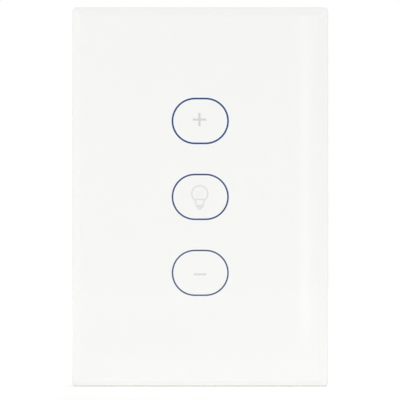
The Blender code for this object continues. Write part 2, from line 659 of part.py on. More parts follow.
def add_mounting_frame(materials):
    """A moulded tray with a rim, two slotted holes, board bosses in front and screw posts behind."""
    outer = rounded_rectangle(RIM_WIDTH, RIM_HEIGHT, RIM_CORNER_RADIUS)
    frame = prism("mounting_frame", outer, RIM_FRONT, 0.0, materials["mounting"])
    hollow = rounded_rectangle(RIM_WIDTH - 2 * RIM_WALL, RIM_HEIGHT - 2 * RIM_WALL, RIM_CORNER_RADIUS / 2)
    cut(frame, prism("rim_hollow", hollow, RIM_FRONT - PAST, FLOOR_FRONT))

    slots = []
    lands = []
    for end in (-1, 1):
        z = end * WALL_SLOT_Z
        slot = stadium(WALL_SLOT_LENGTH, WALL_SLOT_WIDTH, z=z, steps=SLOT_STEPS)
        slots.append(prism("slot", slot, FLOOR_FRONT - PAST, PAST))
        land_length = WALL_SLOT_LENGTH + 2 * WALL_SLOT_LAND
        land = stadium(land_length, WALL_SLOT_WIDTH + 2 * WALL_SLOT_LAND, z=z, steps=SLOT_STEPS)
        lands.append(prism("land", land, FLOOR_FRONT - PAST, FLOOR_FRONT + WALL_SLOT_SINK))
    cut(frame, joined("slot_lands", lands))
    cut(frame, joined("wall_slots", slots))

    bosses = []
    boss_holes = []
    posts = []
    post_holes = []
    for x_side in (-1, 1):
        for z_side in (-1, 1):
            at = (x_side * BOARD_SCREW_X, z_side * BOARD_SCREW_Z, SMALL_SIDES)
            hole = BOARD_SCREW_RADIUS + RUNNING_GAP
            radius = BOARD_BOSS_RADIUS
            bosses.append(turned("boss", [(radius, BOSS_FRONT), (radius, FLOOR_FRONT + FUSE)], *at))
            boss_holes.append(turned("boss_hole", [(hole, BOSS_FRONT - PAST), (hole, BOSS_HOLE_BACK)], *at))
            at = (x_side * COLUMN_X, z_side * COLUMN_Z, SMALL_SIDES)
            hole = HOUSING_SCREW_RADIUS + RUNNING_GAP
            posts.append(turned("post", [(POST_RADIUS, -FUSE), (POST_RADIUS, POST_HEIGHT)], *at))
            profile = [(hole, POST_HOLE_FRONT), (hole, POST_HEIGHT + PAST)]
            post_holes.append(turned("post_hole", profile, *at))
    fuse(frame, joined("board_bosses", bosses))
    fuse(frame, joined("screw_posts", posts))
    cut(frame, joined("boss_holes", boss_holes))
    cut(frame, joined("post_holes", post_holes))
    opening = rectangle(HEADER_LENGTH + 2 * BOARD_GAP, PLUG_WIDTH + 2 * BOARD_GAP, z=HEADER_Z)
    cut(frame, prism("plug_opening", opening, FLOOR_FRONT - PAST, PAST))
    cut(frame, joined("back_pockets", back_pockets()))
    recesses = []
    for side, centre_z in ridge_places():
        inner_x = side * (RIM_WIDTH / 2 - RIDGE_RECESS)
        outer_x = side * (RIM_WIDTH / 2 + PAST)
        half = HOOK_LENGTH / 2 + FIT_GAP
        low = (min(inner_x, outer_x), HOOK_BACK - HOOK_HEIGHT - FIT_GAP, centre_z - half)
        recesses.append(box("recess", low, (max(inner_x, outer_x), PAST, centre_z + half)))
    cut(frame, joined("ridge_recesses", recesses))
    return frame


def back_pockets():
    """Shallow cells that lighten the back of the mounting frame on both sides of the housing."""
    pockets = []
    left = HOUSING_WIDTH / 2 + BACK_POCKET_LAND
    right = RIM_WIDTH / 2 - RIM_WALL - BACK_POCKET_LAND
    step = 2 * HOUSING_TOP / BACK_POCKET_CELLS
    for side in (-1, 1):
        for cell in range(BACK_POCKET_CELLS):
            low_z = -HOUSING_TOP + cell * step + BACK_POCKET_LAND / 2
            low = (min(side * left, side * right), -BACK_POCKET_DEPTH, low_z)
            high = (max(side * left, side * right), PAST, low_z + step - BACK_POCKET_LAND)
            pockets.append(box("pocket", low, high))
    return pockets


def add_touch_board(materials):
    outline = rounded_rectangle(TOUCH_BOARD_WIDTH, TOUCH_BOARD_HEIGHT, BOARD_CORNER_RADIUS)
    board = prism("touch_board", outline, TOUCH_FRONT, TOUCH_BACK, materials["board"])
    holes = []
    ends = (TOUCH_FRONT - PAST, TOUCH_BACK + PAST)
    for x_side in (-1, 1):
        for z_side in (-1, 1):
            radius = BOARD_SCREW_RADIUS + RUNNING_GAP
            at = (x_side * BOARD_SCREW_X, z_side * BOARD_SCREW_Z, SMALL_SIDES)
            holes.append(turned("screw_hole", [(radius, ends[0]), (radius, ends[1])], *at))
    for key in (-1, 0, 1):
        radius = SPRING_WIRE + SEAT_GAP
        at = (SPRING_RADIUS, key * KEY_SPACING, LEAD_SIDES)
        holes.append(turned("spring_hole", [(radius, ends[0]), (radius, ends[1])], *at))
    cut(board, joined("touch_board_holes", holes))
    return board


def add_touch_spring(name, z, materials):
    """A coil that carries a finger's charge from the back of the glass to the board."""
    curve = bpy.data.curves.new(name, "CURVE")
    curve.dimensions = "3D"
    curve.bevel_depth = SPRING_WIRE
    curve.bevel_resolution = 1
    curve.use_fill_caps = True
    foot = TOUCH_FRONT - SEAT_GAP - SPRING_WIRE
    tip = GLASS_BACK + SEAT_GAP + SPRING_WIRE
    points = [(SPRING_RADIUS, TOUCH_BACK, 0.0), (SPRING_RADIUS, (TOUCH_BACK + foot) / 2, 0.0)]
    for step in range(SPRING_TURNS * SPRING_STEPS + 1):
        turn = step / SPRING_STEPS
        angle = 2 * math.pi * turn
        y = foot + (tip - foot) * turn / SPRING_TURNS
        points.append((SPRING_RADIUS * math.cos(angle), y, SPRING_RADIUS * math.sin(angle)))
    spline = curve.splines.new("POLY")
    spline.points.add(len(points) - 1)
    for point, (px, py, pz) in zip(spline.points, points):
        point.co = (px, py, pz, 1.0)
    curve.materials.append(materials["spring"])
    spring = bpy.data.objects.new(name, curve)
    bpy.context.scene.collection.objects.link(spring)
    return place(spring, 0.0, 0.0, z)


def add_led(name, x, z, materials):
    back = TOUCH_FRONT - SEAT_GAP
    outline = rectangle(LED_LENGTH, LED_WIDTH)
    lens = rectangle(LED_LENGTH * LED_LENS_SHARE, LED_WIDTH * LED_LENS_SHARE)
    step = LED_FRONT + LED_HEIGHT / 2
    sections = [(lens, LED_FRONT), (lens, step), (outline, step), (outline, back)]
    return place(loft(name, sections, materials["led"]), x, 0.0, z)


def add_touch_controller(materials):
    """The chip on the back of the touch board, between the middle and the lower key."""
    front = TOUCH_BACK + SEAT_GAP
    low = (-CHIP_WIDTH / 2, front, -CHIP_LENGTH / 2)
    high = (CHIP_WIDTH / 2, front + CHIP_HEIGHT, CHIP_LENGTH / 2)
    chip = eased_box("touch_controller", low, high, CHIP_HEIGHT / 3, materials["chip"])
    return place(chip, 0.0, 0.0, -KEY_SPACING / 2)


def screw(name, head_radius, head, radius, length, slots, material, sides=SMALL_SIDES):
    """A pan-head screw on its own axis: head towards -Y, seat at y = 0, shank towards +Y.

    The slots cross its head: one for a plain slot, two for a cross recess.
    """
    ease = head / 4
    profile = [(head_radius - ease, -head), (head_radius, -head + ease), (head_radius, 0.0), (radius, 0.0)]
    profile += [(radius, length - radius / 2), (radius / 2, length)]
    made = turned(name, profile, sides=sides, material=material)
    reach = head_radius * SCREW_SLOT_REACH
    bars = [rectangle(2 * reach, SCREW_SLOT_WIDTH), rectangle(SCREW_SLOT_WIDTH, 2 * reach)]
    for bar in bars[:slots]:
        cut(made, prism("drive_slot", bar, -head - PAST, -head / 2))
    return made


def add_board_screws(materials):
    length = BOSS_HOLE_BACK - (TOUCH_FRONT - SEAT_GAP) - FIT_GAP
    number = 0
    for x_side in (-1, 1):
        for z_side in (1, -1):
            number += 1
            head = (BOARD_SCREW_HEAD_RADIUS, BOARD_SCREW_HEAD)
            made = screw(f"board_screw_{number}", *head, BOARD_SCREW_RADIUS, length, 2, materials["steel"])
            place(made, x_side * BOARD_SCREW_X, TOUCH_FRONT - SEAT_GAP, z_side * BOARD_SCREW_Z)


# Wall part, back side

def add_rear_housing(materials):
    """A moulded shell with a deep body and a shallow shoulder round the terminal block."""
    deep_height = STEP_Z + HOUSING_TOP
    deep_z = (STEP_Z - HOUSING_TOP) / 2
    housing = moulded_block("rear_housing", deep_height, deep_z, MAIN_BACK, materials["housing"])
    fuse(housing, moulded_block("shoulder", HOUSING_HEIGHT, 0.0, BAY_HOUSING_BACK))

    inner_radius = max(HOUSING_CORNER_RADIUS - HOUSING_WALL, HOUSING_WALL / 4)
    inner_width = HOUSING_WIDTH - 2 * HOUSING_WALL
    cavity_bottom = -HOUSING_TOP + HOUSING_WALL
    middle = (MAIN_TOP + cavity_bottom) / 2
    cavity = rounded_rectangle(inner_width, MAIN_TOP - cavity_bottom, inner_radius, z=middle)
    cut(housing, prism("main_cavity", cavity, -PAST, MAIN_INNER_BACK))

    pocket_inner = BLOCK_WIDTH / 2 + FIT_GAP + PARTITION
    pocket_width = inner_width / 2 - pocket_inner
    pocket_low = MAIN_TOP - HOUSING_WALL
    pocket_high = HOUSING_TOP - HOUSING_WALL
    pocket_z = (pocket_high + pocket_low) / 2
    for side in (-1, 1):
        x = side * (pocket_inner + pocket_width / 2)
        outline = rounded_rectangle(pocket_width, pocket_high - pocket_low, inner_radius, x, pocket_z)
        cut(housing, prism("shoulder_pocket", outline, -PAST, BAY_HOUSING_BACK - HOUSING_WALL))

    half = BLOCK_WIDTH / 2 + FIT_GAP
    seat_high = (half, BAY_HOUSING_BACK + PAST, HOUSING_TOP + PAST)
    cut(housing, box("block_seat", (-half, -PAST, STEP_Z), seat_high))
    cut(housing, box("contact_passage", (-half, -PAST, MAIN_TOP - PAST), (half, BAY_BACK, STEP_Z + FUSE)))

    add_columns(housing)
    add_ledges(housing, inner_width)
    add_vents(housing)
    return housing


def moulded_block(name, height, z, back, material=None):
    """A block with rounded upright corners and a chamfer round its back face."""
    full = rounded_rectangle(HOUSING_WIDTH, height, HOUSING_CORNER_RADIUS, z=z)
    inset = HOUSING_CHAMFER
    radius = HOUSING_CORNER_RADIUS - inset / 2
    small = rounded_rectangle(HOUSING_WIDTH - 2 * inset, height - 2 * inset, radius, z=z)
    return loft(name, [(full, HOUSING_FRONT), (full, back - inset), (small, back)], material)


def add_columns(housing):
    """Screw columns in the corners, counterbored from the back."""
    for z_side, back in ((-1, MAIN_BACK), (1, BAY_HOUSING_BACK)):
        inner_back = back - HOUSING_WALL
        columns = []
        bores = []
        for x_side in (-1, 1):
            at = (x_side * COLUMN_X, z_side * COLUMN_Z, ROUND_SIDES)
            column = [(COLUMN_RADIUS, COLUMN_FRONT), (COLUMN_RADIUS, inner_back + FUSE)]
            columns.append(turned("column", column, *at))
            hole = HOUSING_SCREW_RADIUS + RUNNING_GAP
            profile = [(hole, COLUMN_FRONT - PAST), (hole, COLUMN_SEAT_BACK)]
            profile += [(COUNTERBORE_RADIUS, COLUMN_SEAT_BACK), (COUNTERBORE_RADIUS, back + PAST)]
            bores.append(turned("bore", profile, *at))
        fuse(housing, joined("screw_columns", columns))
        cut(housing, joined("screw_bores", bores))


def add_ledges(housing, inner_width):
    """Upright ribs on the side walls, whose front ends carry the power board."""
    ledge_front = POWER_BACK + SEAT_GAP
    reach = BOARD_GAP + BOARD_EDGE - FIT_GAP
    for side in (-1, 1):
        ledges = []
        for fraction in LEDGE_PLACES:
            z = POWER_BOTTOM + fraction * POWER_HEIGHT
            wall = side * (inner_width / 2 + FUSE)
            tip = side * (inner_width / 2 - reach)
            low = (min(wall, tip), ledge_front, z - LEDGE_WIDTH / 2)
            high = (max(wall, tip), MAIN_INNER_BACK + FUSE, z + LEDGE_WIDTH / 2)
            ledges.append(box("ledge", low, high))
        fuse(housing, joined("board_ledges", ledges))


def add_vents(housing):
    """Cooling slots through the back, over the transistors, and through both side walls."""
    start_z = POWER_BOTTOM + POWER_HEIGHT / 2 - VENT_PITCH * (VENT_COUNT - 1) / 2
    back_slots = []
    side_slots = []
    for index in range(VENT_COUNT):
        z = start_z + index * VENT_PITCH
        outline = stadium(VENT_LENGTH, VENT_WIDTH, z=z, steps=VENT_END_STEPS)
        back_slots.append(prism("vent", outline, MAIN_INNER_BACK - PAST, MAIN_BACK + PAST))
        middle = (PART_FRONT + MAIN_INNER_BACK) / 2
        half = SIDE_VENT_LENGTH / 2
        reach = HOUSING_WIDTH / 2 + PAST
        low = (-reach, middle - half, z - VENT_WIDTH / 2)
        side_slots.append(box("vent", low, (reach, middle + half, z + VENT_WIDTH / 2)))
    cut(housing, joined("back_vents", back_slots))
    cut(housing, joined("side_vents", side_slots))


def add_housing_screws(materials):
    length = COLUMN_SEAT_BACK + SEAT_GAP - POST_HOLE_FRONT - FIT_GAP
    number = 0
    for z_side in (1, -1):
        for x_side in (-1, 1):
            number += 1
            head = (HOUSING_SCREW_HEAD_RADIUS, HOUSING_SCREW_HEAD)
            name = f"housing_screw_{number}"
            made = screw(name, *head, HOUSING_SCREW_RADIUS, length, 2, materials["steel"])
            place(made, x_side * COLUMN_X, COLUMN_SEAT_BACK + SEAT_GAP, z_side * COLUMN_Z, math.pi)


def terminal_x(index):
    return (index - (len(TERMINALS) - 1) / 2) * BAY_PITCH


def add_terminal_block(materials):
    """A moulded block with a bay for each rising clamp, flared wire entries and screw mouths."""
    low = (-BLOCK_WIDTH / 2, BLOCK_FRONT, BLOCK_REAR)
    block = box("terminal_block", low, (BLOCK_WIDTH / 2, BLOCK_BACK, HOUSING_TOP), materials["terminal"])
    bay_low = BLOCK_REAR + BAY_WALL
    bays = []
    entries = []
    mouths = []
    contact_slots = []
    for index in range(len(TERMINALS)):
        x = terminal_x(index)
        bay_high = (x + BAY_WIDTH / 2, BAY_BACK, bay_low + BAY_LENGTH)
        bays.append(box("bay", (x - BAY_WIDTH / 2, BAY_FRONT, bay_low), bay_high))
        entries.append(wire_entry(x, bay_low + BAY_LENGTH))
        mouth = TERMINAL_HEAD_RADIUS + RUNNING_GAP
        lip = TERMINAL_HEAD_RADIUS - TERMINAL_LIP_REACH
        profile = [(mouth, BAY_BACK - FUSE), (mouth, LIP_FRONT), (lip, LIP_FRONT), (lip, BLOCK_BACK + PAST)]
        mouths.append(turned("mouth", profile, x, terminal_z(), ROUND_SIDES))
        slot_low = (x - CONTACT_WIDTH / 2 - SEAT_GAP, CONTACT_FRONT - SEAT_GAP, BLOCK_REAR - PAST)
        slot_high = (x + CONTACT_WIDTH / 2 + SEAT_GAP, CONTACT_BACK + SEAT_GAP, bay_low + FUSE)
        contact_slots.append(box("contact_slot", slot_low, slot_high))
    cut(block, joined("clamp_bays", bays))
    cut(block, joined("wire_entries", entries))
    cut(block, joined("screw_mouths", mouths))
    cut(block, joined("contact_slots", contact_slots))
    return block


def terminal_z():
    return BLOCK_REAR + BAY_WALL + BAY_LENGTH / 2


def wire_entry(x, bay_high):
    """A square tunnel along Z that flares towards the outside."""
    middle_y = WIRE_FRONT + WIRE_SPACE / 2
    maker = bmesh.new()
    rings = []
    half_x = CLAMP_INNER_WIDTH / 2
    half_y = WIRE_SPACE / 2 - RUNNING_GAP
    flare_z = HOUSING_TOP - ENTRY_FLARE
    levels = [(0.0, bay_high - FUSE), (0.0, flare_z)]
    levels += [(ENTRY_FLARE, HOUSING_TOP), (ENTRY_FLARE, HOUSING_TOP + PAST)]
    for grow, z in levels:
        ring = []
        for side_x, side_y in ((-1, -1), (1, -1), (1, 1), (-1, 1)):
            corner = (x + side_x * (half_x + grow), middle_y + side_y * (half_y + grow), z)
            ring.append(maker.verts.new(corner))
        rings.append(ring)
    for near, far in zip(rings, rings[1:]):
        for index in range(4):
            following = (index + 1) % 4
            maker.faces.new((near[index], near[following], far[following], far[index]))
    maker.faces.new(list(reversed(rings[0])))
    maker.faces.new(rings[-1])
    bmesh.ops.recalc_face_normals(maker, faces=maker.faces)
    return new_object("entry", maker)


def add_contact_bar(name, x, materials):
    """A brass strip through the clamp, bent down at its end into a leg through the power board."""
    bay_high = BLOCK_REAR + BAY_WALL + BAY_LENGTH
    strip_end = bay_high - RUNNING_GAP
    leg_low = CONTACT_LEG_Z - CONTACT_THICKNESS / 2
    leg_high = CONTACT_LEG_Z + CONTACT_THICKNESS / 2
    leg_front = POWER_FRONT - LEAD_TAIL
    maker = bmesh.new()
    side = [(CONTACT_BACK, strip_end), (CONTACT_BACK, leg_low), (leg_front, leg_low)]
    side += [(leg_front, leg_high), (CONTACT_FRONT, leg_high), (CONTACT_FRONT, strip_end)]
    left = [maker.verts.new((-CONTACT_WIDTH / 2, y, z)) for y, z in side]
    right = [maker.verts.new((CONTACT_WIDTH / 2, y, z)) for y, z in side]
    for index in range(len(side)):
        following = (index + 1) % len(side)
        maker.faces.new((left[index], left[following], right[following], right[index]))
    maker.faces.new(left)
    maker.faces.new(list(reversed(right)))
    bmesh.ops.recalc_face_normals(maker, faces=maker.faces)
    return place(new_object(name, maker, materials["brass"]), x, 0.0, 0.0)


def add_wire_clamp(name, x, materials):
    """The rising cage: it pulls the wire back against the contact bar as the screw turns."""
    half_z = CLAMP_LENGTH / 2
    low = (-CLAMP_WIDTH / 2, CLAMP_FRONT, -half_z)
    clamp = box(name, low, (CLAMP_WIDTH / 2, CLAMP_BACK, half_z), materials["steel"])
    half_x = CLAMP_INNER_WIDTH / 2
    low = (-half_x, WIRE_FRONT, -half_z - PAST)
    cut(clamp, box("cage_window", low, (half_x, NUT_FRONT, half_z + PAST)))
    radius = TERMINAL_SCREW_RADIUS + RUNNING_GAP
    cut(clamp, turned("nut_hole", [(radius, NUT_FRONT - FUSE), (radius, CLAMP_BACK + PAST)]))
    return place(clamp, x, 0.0, terminal_z())


def add_terminal_screw(name, x, materials):
    """A captive screw: its head turns behind the block's lip and its tip stands over the contact bar."""
    length = HEAD_FRONT - CONTACT_BACK - RUNNING_GAP
    head = (TERMINAL_HEAD_RADIUS, TERMINAL_HEAD)
    made = screw(name, *head, TERMINAL_SCREW_RADIUS, length, 1, materials["steel"], ROUND_SIDES)
    return place(made, x, HEAD_FRONT, terminal_z(), math.pi)


# Power board and its parts

def row_centres(name):
    """The x centre of each part in a row, and the row's z centre."""
    widths = ROWS[name]
    left = -row_width(widths) / 2
    centres = []
    for width in widths:
        centres.append(left + width / 2)
        left += width + COMPONENT_GAP
    top = POWER_TOP - LEG_ZONE
    for row, depth in ROW_DEPTHS.items():
        if row == name:
            return centres, top - depth / 2
        top -= depth + ROW_GAP
    return centres, top


def lead(x, z, back):
    """A round wire that runs through the board, from its tail in front to the part."""
    profile = [(LEAD_RADIUS, POWER_FRONT - LEAD_TAIL), (LEAD_RADIUS, back)]
    return turned("lead", profile, x, z, LEAD_SIDES)


def add_leads(part, spots, back):
    fuse(part, joined("leads", [lead(x, z, back) for x, z in spots]))
    return spots


def add_power_board(materials, lead_spots):
    outline = rectangle(POWER_WIDTH, POWER_HEIGHT, z=(POWER_TOP + POWER_BOTTOM) / 2)
    board = prism("power_board", outline, POWER_FRONT, POWER_BACK, materials["board"])
    ends = (POWER_FRONT - PAST, POWER_BACK + PAST)
    corner = COLUMN_RADIUS + BOARD_GAP
    corners = []
    for side in (-1, 1):
        at = (side * COLUMN_X, -COLUMN_Z, ROUND_SIDES)
        corners.append(turned("corner", [(corner, ends[0]), (corner, ends[1])], *at))
        past_x = side * (POWER_WIDTH / 2 + PAST)
        low = (min(side * COLUMN_X, past_x), ends[0], POWER_BOTTOM - PAST)
        high = (max(side * COLUMN_X, past_x), ends[1], -COLUMN_Z)
        cut(board, box("corner_side", low, high))
    cut(board, joined("board_corners", corners))
    radius = LEAD_RADIUS + SEAT_GAP
    profile = [(radius, ends[0]), (radius, ends[1])]
    holes = [turned("lead_hole", profile, x, z, LEAD_SIDES) for x, z in lead_spots]
    for index in range(len(TERMINALS)):
        x = terminal_x(index)
        half_x = CONTACT_WIDTH / 2 + SEAT_GAP
        half_z = CONTACT_THICKNESS / 2 + SEAT_GAP
        low = (x - half_x, ends[0], CONTACT_LEG_Z - half_z)
        holes.append(box("leg_slot", low, (x + half_x, ends[1], CONTACT_LEG_Z + half_z)))
    cut(board, joined("power_board_holes", holes))
    return board


def add_fuse(x, z, materials):
    """A ceramic tube with two end caps, lying across the board on its leads."""
    axis_y = PART_FRONT + FUSE_RADIUS
    body_radius = FUSE_RADIUS - SEAT_GAP
    half = FUSE_LENGTH / 2
    cap = half - FUSE_CAP_LENGTH
    profile = [(FUSE_RADIUS, -half), (FUSE_RADIUS, -cap), (body_radius, -cap), (body_radius, cap)]
    profile += [(FUSE_RADIUS, cap), (FUSE_RADIUS, half)]
    tube = turned("fuse", profile, sides=SMALL_SIDES, material=materials["ceramic"])
    turn_and_shift(tube, "Z", x, axis_y, z)
    reach = half - FUSE_CAP_LENGTH / 2
    return add_leads(tube, [(x - reach, z), (x + reach, z)], axis_y)


def turn_and_shift(piece, axis, x, y, z):
    """Turns a mesh a quarter about an axis through the origin, then moves it."""
    piece.data.transform(Matrix.Translation((x, y, z)) @ Matrix.Rotation(math.pi / 2, 4, axis))


def add_varistor(x, z, materials):
    """A coated disc that stands on edge across the board."""
    radius = VARISTOR_RADIUS
    half = VARISTOR_THICKNESS / 2
    ease = half / 2
    profile = [(radius - ease, -half), (radius, -half + ease)]
    profile += [(radius, half - ease), (radius - ease, half)]
    disc = turned("varistor", profile, material=materials["disc"])
    centre_y = PART_FRONT + VARISTOR_STANDOFF + radius
    turn_and_shift(disc, "X", x, centre_y, z)
    reach = radius / 2
    return add_leads(disc, [(x - reach, z), (x + reach, z)], centre_y)


def add_choke(x, z, materials):
    """A drum core with a winding between its flanges."""
    front = PART_FRONT
    back = front + CHOKE_HEIGHT
    neck_front = front + CHOKE_FLANGE
    neck_back = back - CHOKE_FLANGE
    profile = [(CHOKE_RADIUS, front), (CHOKE_RADIUS, neck_front), (CHOKE_NECK, neck_front)]
    profile += [(CHOKE_NECK, neck_back), (CHOKE_RADIUS, neck_back), (CHOKE_RADIUS, back)]
    core = turned("choke_core", profile, x, z, material=materials["ferrite"])
    inner = CHOKE_NECK + SEAT_GAP
    outer = CHOKE_RADIUS - COIL_INSET
    ends = (neck_front + SEAT_GAP, neck_back - SEAT_GAP)
    turned_ring("choke_coil", inner, outer, *ends, COIL_INSET / 2, x, z, ROUND_SIDES, materials["copper"])
    reach = CHOKE_RADIUS * CHOKE_LEAD_SHARE
    return add_leads(core, [(x - reach, z), (x + reach, z)], neck_front - FUSE)


def add_film_capacitor(x, z, materials):
    low = (x - FILM_WIDTH / 2, PART_FRONT, z - FILM_DEPTH / 2)
    high = (x + FILM_WIDTH / 2, PART_FRONT + FILM_HEIGHT, z + FILM_DEPTH / 2)
    case = eased_box("film_capacitor", low, high, FILM_DEPTH / 8, materials["film"])
    reach = FILM_WIDTH / 2 - FILM_DEPTH / 4
    return add_leads(case, [(x - reach, z), (x + reach, z)], PART_FRONT + FUSE)


def add_rectifier(x, z, materials):
    low = (x - RECTIFIER_WIDTH / 2, PART_FRONT, z - RECTIFIER_DEPTH / 2)
    high = (x + RECTIFIER_WIDTH / 2, PART_FRONT + RECTIFIER_HEIGHT, z + RECTIFIER_DEPTH / 2)
    case = eased_box("rectifier", low, high, RECTIFIER_HEIGHT / 5, materials["chip"])
    spots = []
    for x_side in (-1, 1):
        for z_side in (-1, 1):
            spots.append((x + x_side * RECTIFIER_WIDTH / 3, z + z_side * RECTIFIER_DEPTH / 3))
    return add_leads(case, spots, PART_FRONT + FUSE)


def add_bulk_capacitor(name, x, z, materials):
    """An electrolytic can: rolled bead near its foot and a rounded top rim."""
    radius = BULK_RADIUS
    bead = BULK_BEAD
    base = PART_FRONT
    top = base + BULK_HEIGHT
    profile = [(radius - bead, base), (radius, base + bead), (radius, base + 3 * bead)]
    profile += [(radius - bead, base + 5 * bead), (radius, base + 7 * bead), (radius, top - 2 * bead)]
    profile += [(radius - bead / 2, top - bead / 2), (radius - 2 * bead, top)]
    profile += [(radius - 3 * bead, top - bead / 2)]
    can = turned(name, profile, x, z, material=materials["sleeve"])
    reach = BULK_SPACING / 2
    return add_leads(can, [(x - reach, z), (x + reach, z)], base + FUSE)


def add_transformer(x, z, materials):
    """Two E halves closed round a coil, on a base whose pins pass through the board."""
    base_back = PART_FRONT + TRANSFORMER_BASE
    half_z = TRANSFORMER_DEPTH / 2
    low = (x - CORE_WIDTH / 2, PART_FRONT, z - half_z)
    high = (x + CORE_WIDTH / 2, base_back, z + half_z)
    base = box("transformer_base", low, high, materials["chip"])
    spots = []
    for x_side in (-1, 0, 1):
        for z_side in (-1, 1):
            spots.append((x + x_side * CORE_WIDTH / 3, z + z_side * half_z * TRANSFORMER_PIN_SHARE))
    add_leads(base, spots, PART_FRONT + FUSE)

    core_front = base_back + SEAT_GAP
    core_back = core_front + CORE_HEIGHT
    low = (x - CORE_WIDTH / 2, core_front, z - CORE_DEPTH / 2)
    high = (x + CORE_WIDTH / 2, core_back, z + CORE_DEPTH / 2)
    core = box("transformer_core", low, high, materials["ferrite"])
    window = (CORE_WIDTH - 3 * CORE_LEG) / 2
    windows = []
    for side in (-1, 1):
        centre = x + side * (CORE_LEG / 2 + window / 2)
        low = (centre - window / 2, core_front + CORE_YOKE, z - CORE_DEPTH / 2 - PAST)
        high = (centre + window / 2, core_back - CORE_YOKE, z + CORE_DEPTH / 2 + PAST)
        windows.append(box("core_window", low, high))
    cut(core, joined("core_windows", windows))

    coil_front = core_front + CORE_YOKE + SEAT_GAP
    coil_back = core_back - CORE_YOKE - SEAT_GAP
    coil_width = CORE_LEG + 2 * window - 2 * SEAT_GAP
    outer = rounded_rectangle(coil_width, TRANSFORMER_DEPTH - 2 * SEAT_GAP, COIL_BULGE / 2, x, z)
    inner = rounded_rectangle(CORE_LEG + 2 * SEAT_GAP, CORE_DEPTH + 2 * SEAT_GAP, SEAT_GAP, x, z)
    band("transformer_coil", outer, inner, coil_front, coil_back, materials["tape_wrap"])
    return spots


def add_switch_row(x, z, materials):
    """A finned heat sink across the board with two power transistors against its plate."""
    row_low = z - ROW_DEPTHS["switch"] / 2
    plate_low = row_low + SINK_FIN
    plate_high = plate_low + SINK_PLATE
    half = SINK_WIDTH / 2
    back = PART_FRONT + SINK_HEIGHT
    low = (x - half, PART_FRONT, plate_low)
    sink = box("heat_sink", low, (x + half, back, plate_high), materials["aluminium"])
    fins = []
    step = (SINK_WIDTH - SINK_FIN_THICKNESS) / (SINK_FINS - 1)
    for index in range(SINK_FINS):
        left = x - half + index * step
        high = (left + SINK_FIN_THICKNESS, back, plate_low + FUSE)
        fins.append(box("fin", (left, PART_FRONT, row_low), high))
    fuse(sink, joined("sink_fins", fins))

    spots = []
    offset = (TRANSISTOR_WIDTH + COMPONENT_GAP) / 2
    for side, word in ((-1, "left"), (1, "right")):
        name = f"power_transistor_{word}"
        spots += add_transistor(name, x + side * offset, plate_high + SEAT_GAP, materials)
    return spots


def add_transistor(name, x, low_z, materials):
    """A moulded package on three legs, with a hole through its thin upper half."""
    front = PART_FRONT + TRANSISTOR_LEG
    back = front + TRANSISTOR_HEIGHT
    half = TRANSISTOR_WIDTH / 2
    high_z = low_z + TRANSISTOR_DEPTH
    package = box(name, (x - half, front, low_z), (x + half, back, high_z), materials["chip"])
    step_y = front + TRANSISTOR_HEIGHT * TRANSISTOR_BODY_SHARE
    step_z = low_z + TRANSISTOR_DEPTH * TRANSISTOR_BODY_SHARE
    step_low = (x - half - PAST, step_y, step_z)
    cut(package, box("tab_step", step_low, (x + half + PAST, back + PAST, high_z + PAST)))
    hole = circle(TRANSISTOR_HOLE_RADIUS, sides=SMALL_SIDES)
    drill = prism("tab_hole", hole, -PAST, TRANSISTOR_DEPTH + PAST)
    turn_and_shift(drill, "X", x, (step_y + back) / 2, low_z)
    cut(package, drill)
    leg_z = low_z + TRANSISTOR_DEPTH / 2
    spots = [(x + step * TRANSISTOR_PITCH, leg_z) for step in (-1, 0, 1)]
    return add_leads(package, spots, front + FUSE)


def add_wireless_module(x, z, materials):
    """A small board that stands on its pins, with a shielding can on its upper side."""
    row_low = z - (MODULE_BOARD + SEAT_GAP + SHIELD_HEIGHT) / 2
    half = MODULE_WIDTH / 2
    top_z = row_low + MODULE_BOARD
    back = PART_FRONT + MODULE_LENGTH
    low = (x - half, PART_FRONT, row_low)
    board = box("wireless_module", low, (x + half, back, top_z), materials["board"])
    spots = []
    for step in range(MODULE_PINS):
        offset = (step - (MODULE_PINS - 1) / 2) * TRANSISTOR_PITCH
        spots.append((x + offset, row_low + MODULE_BOARD / 2))
    add_leads(board, spots, PART_FRONT + FUSE)

    shield_low = top_z + SEAT_GAP
    rim = SHIELD_MARGIN / 4
    outer = rectangle(MODULE_WIDTH - 2 * SHIELD_MARGIN, SHIELD_LENGTH)
    inner = rectangle(MODULE_WIDTH - 2 * SHIELD_MARGIN - 2 * rim, SHIELD_LENGTH - 2 * rim)
    sections = [(outer, 0.0), (outer, SHIELD_HEIGHT - rim), (inner, SHIELD_HEIGHT)]
    shield = loft("wireless_shield", sections, materials["shield"])
    centre_y = PART_FRONT + SHIELD_MARGIN + SHIELD_LENGTH / 2
    turn_and_shift(shield, "X", x, centre_y, shield_low)
    return spots


def add_header(materials):
    """Pins from the touch board's back into a socket on the power board's front."""
    z = HEADER_Z
    socket_back = POWER_FRONT - SEAT_GAP
    plug_front = TOUCH_BACK + SEAT_GAP
    plug_back = plug_front + PLUG_HEIGHT
    socket_front = plug_back + SEAT_GAP
    base = rectangle(HEADER_LENGTH, PLUG_WIDTH, z=z)
    plug = prism("board_plug", base, plug_front, plug_back, materials["header"])
    socket = prism("board_socket", base, socket_front, socket_back, materials["header"])
    pins = []
    holes = []
    depth = (socket_front + socket_back) / 2
    for index in range(PIN_COUNT):
        x = (index - (PIN_COUNT - 1) / 2) * PIN_PITCH
        pins.append(prism("pin", rectangle(PIN_SIZE, PIN_SIZE, x, z), plug_back - FUSE, depth))
        hole = PIN_SIZE + 2 * SEAT_GAP
        holes.append(prism("pin_hole", rectangle(hole, hole, x, z), socket_front - PAST, depth + SEAT_GAP))
    fuse(plug, joined("plug_pins", pins))
    cut(socket, joined("socket_holes", holes))


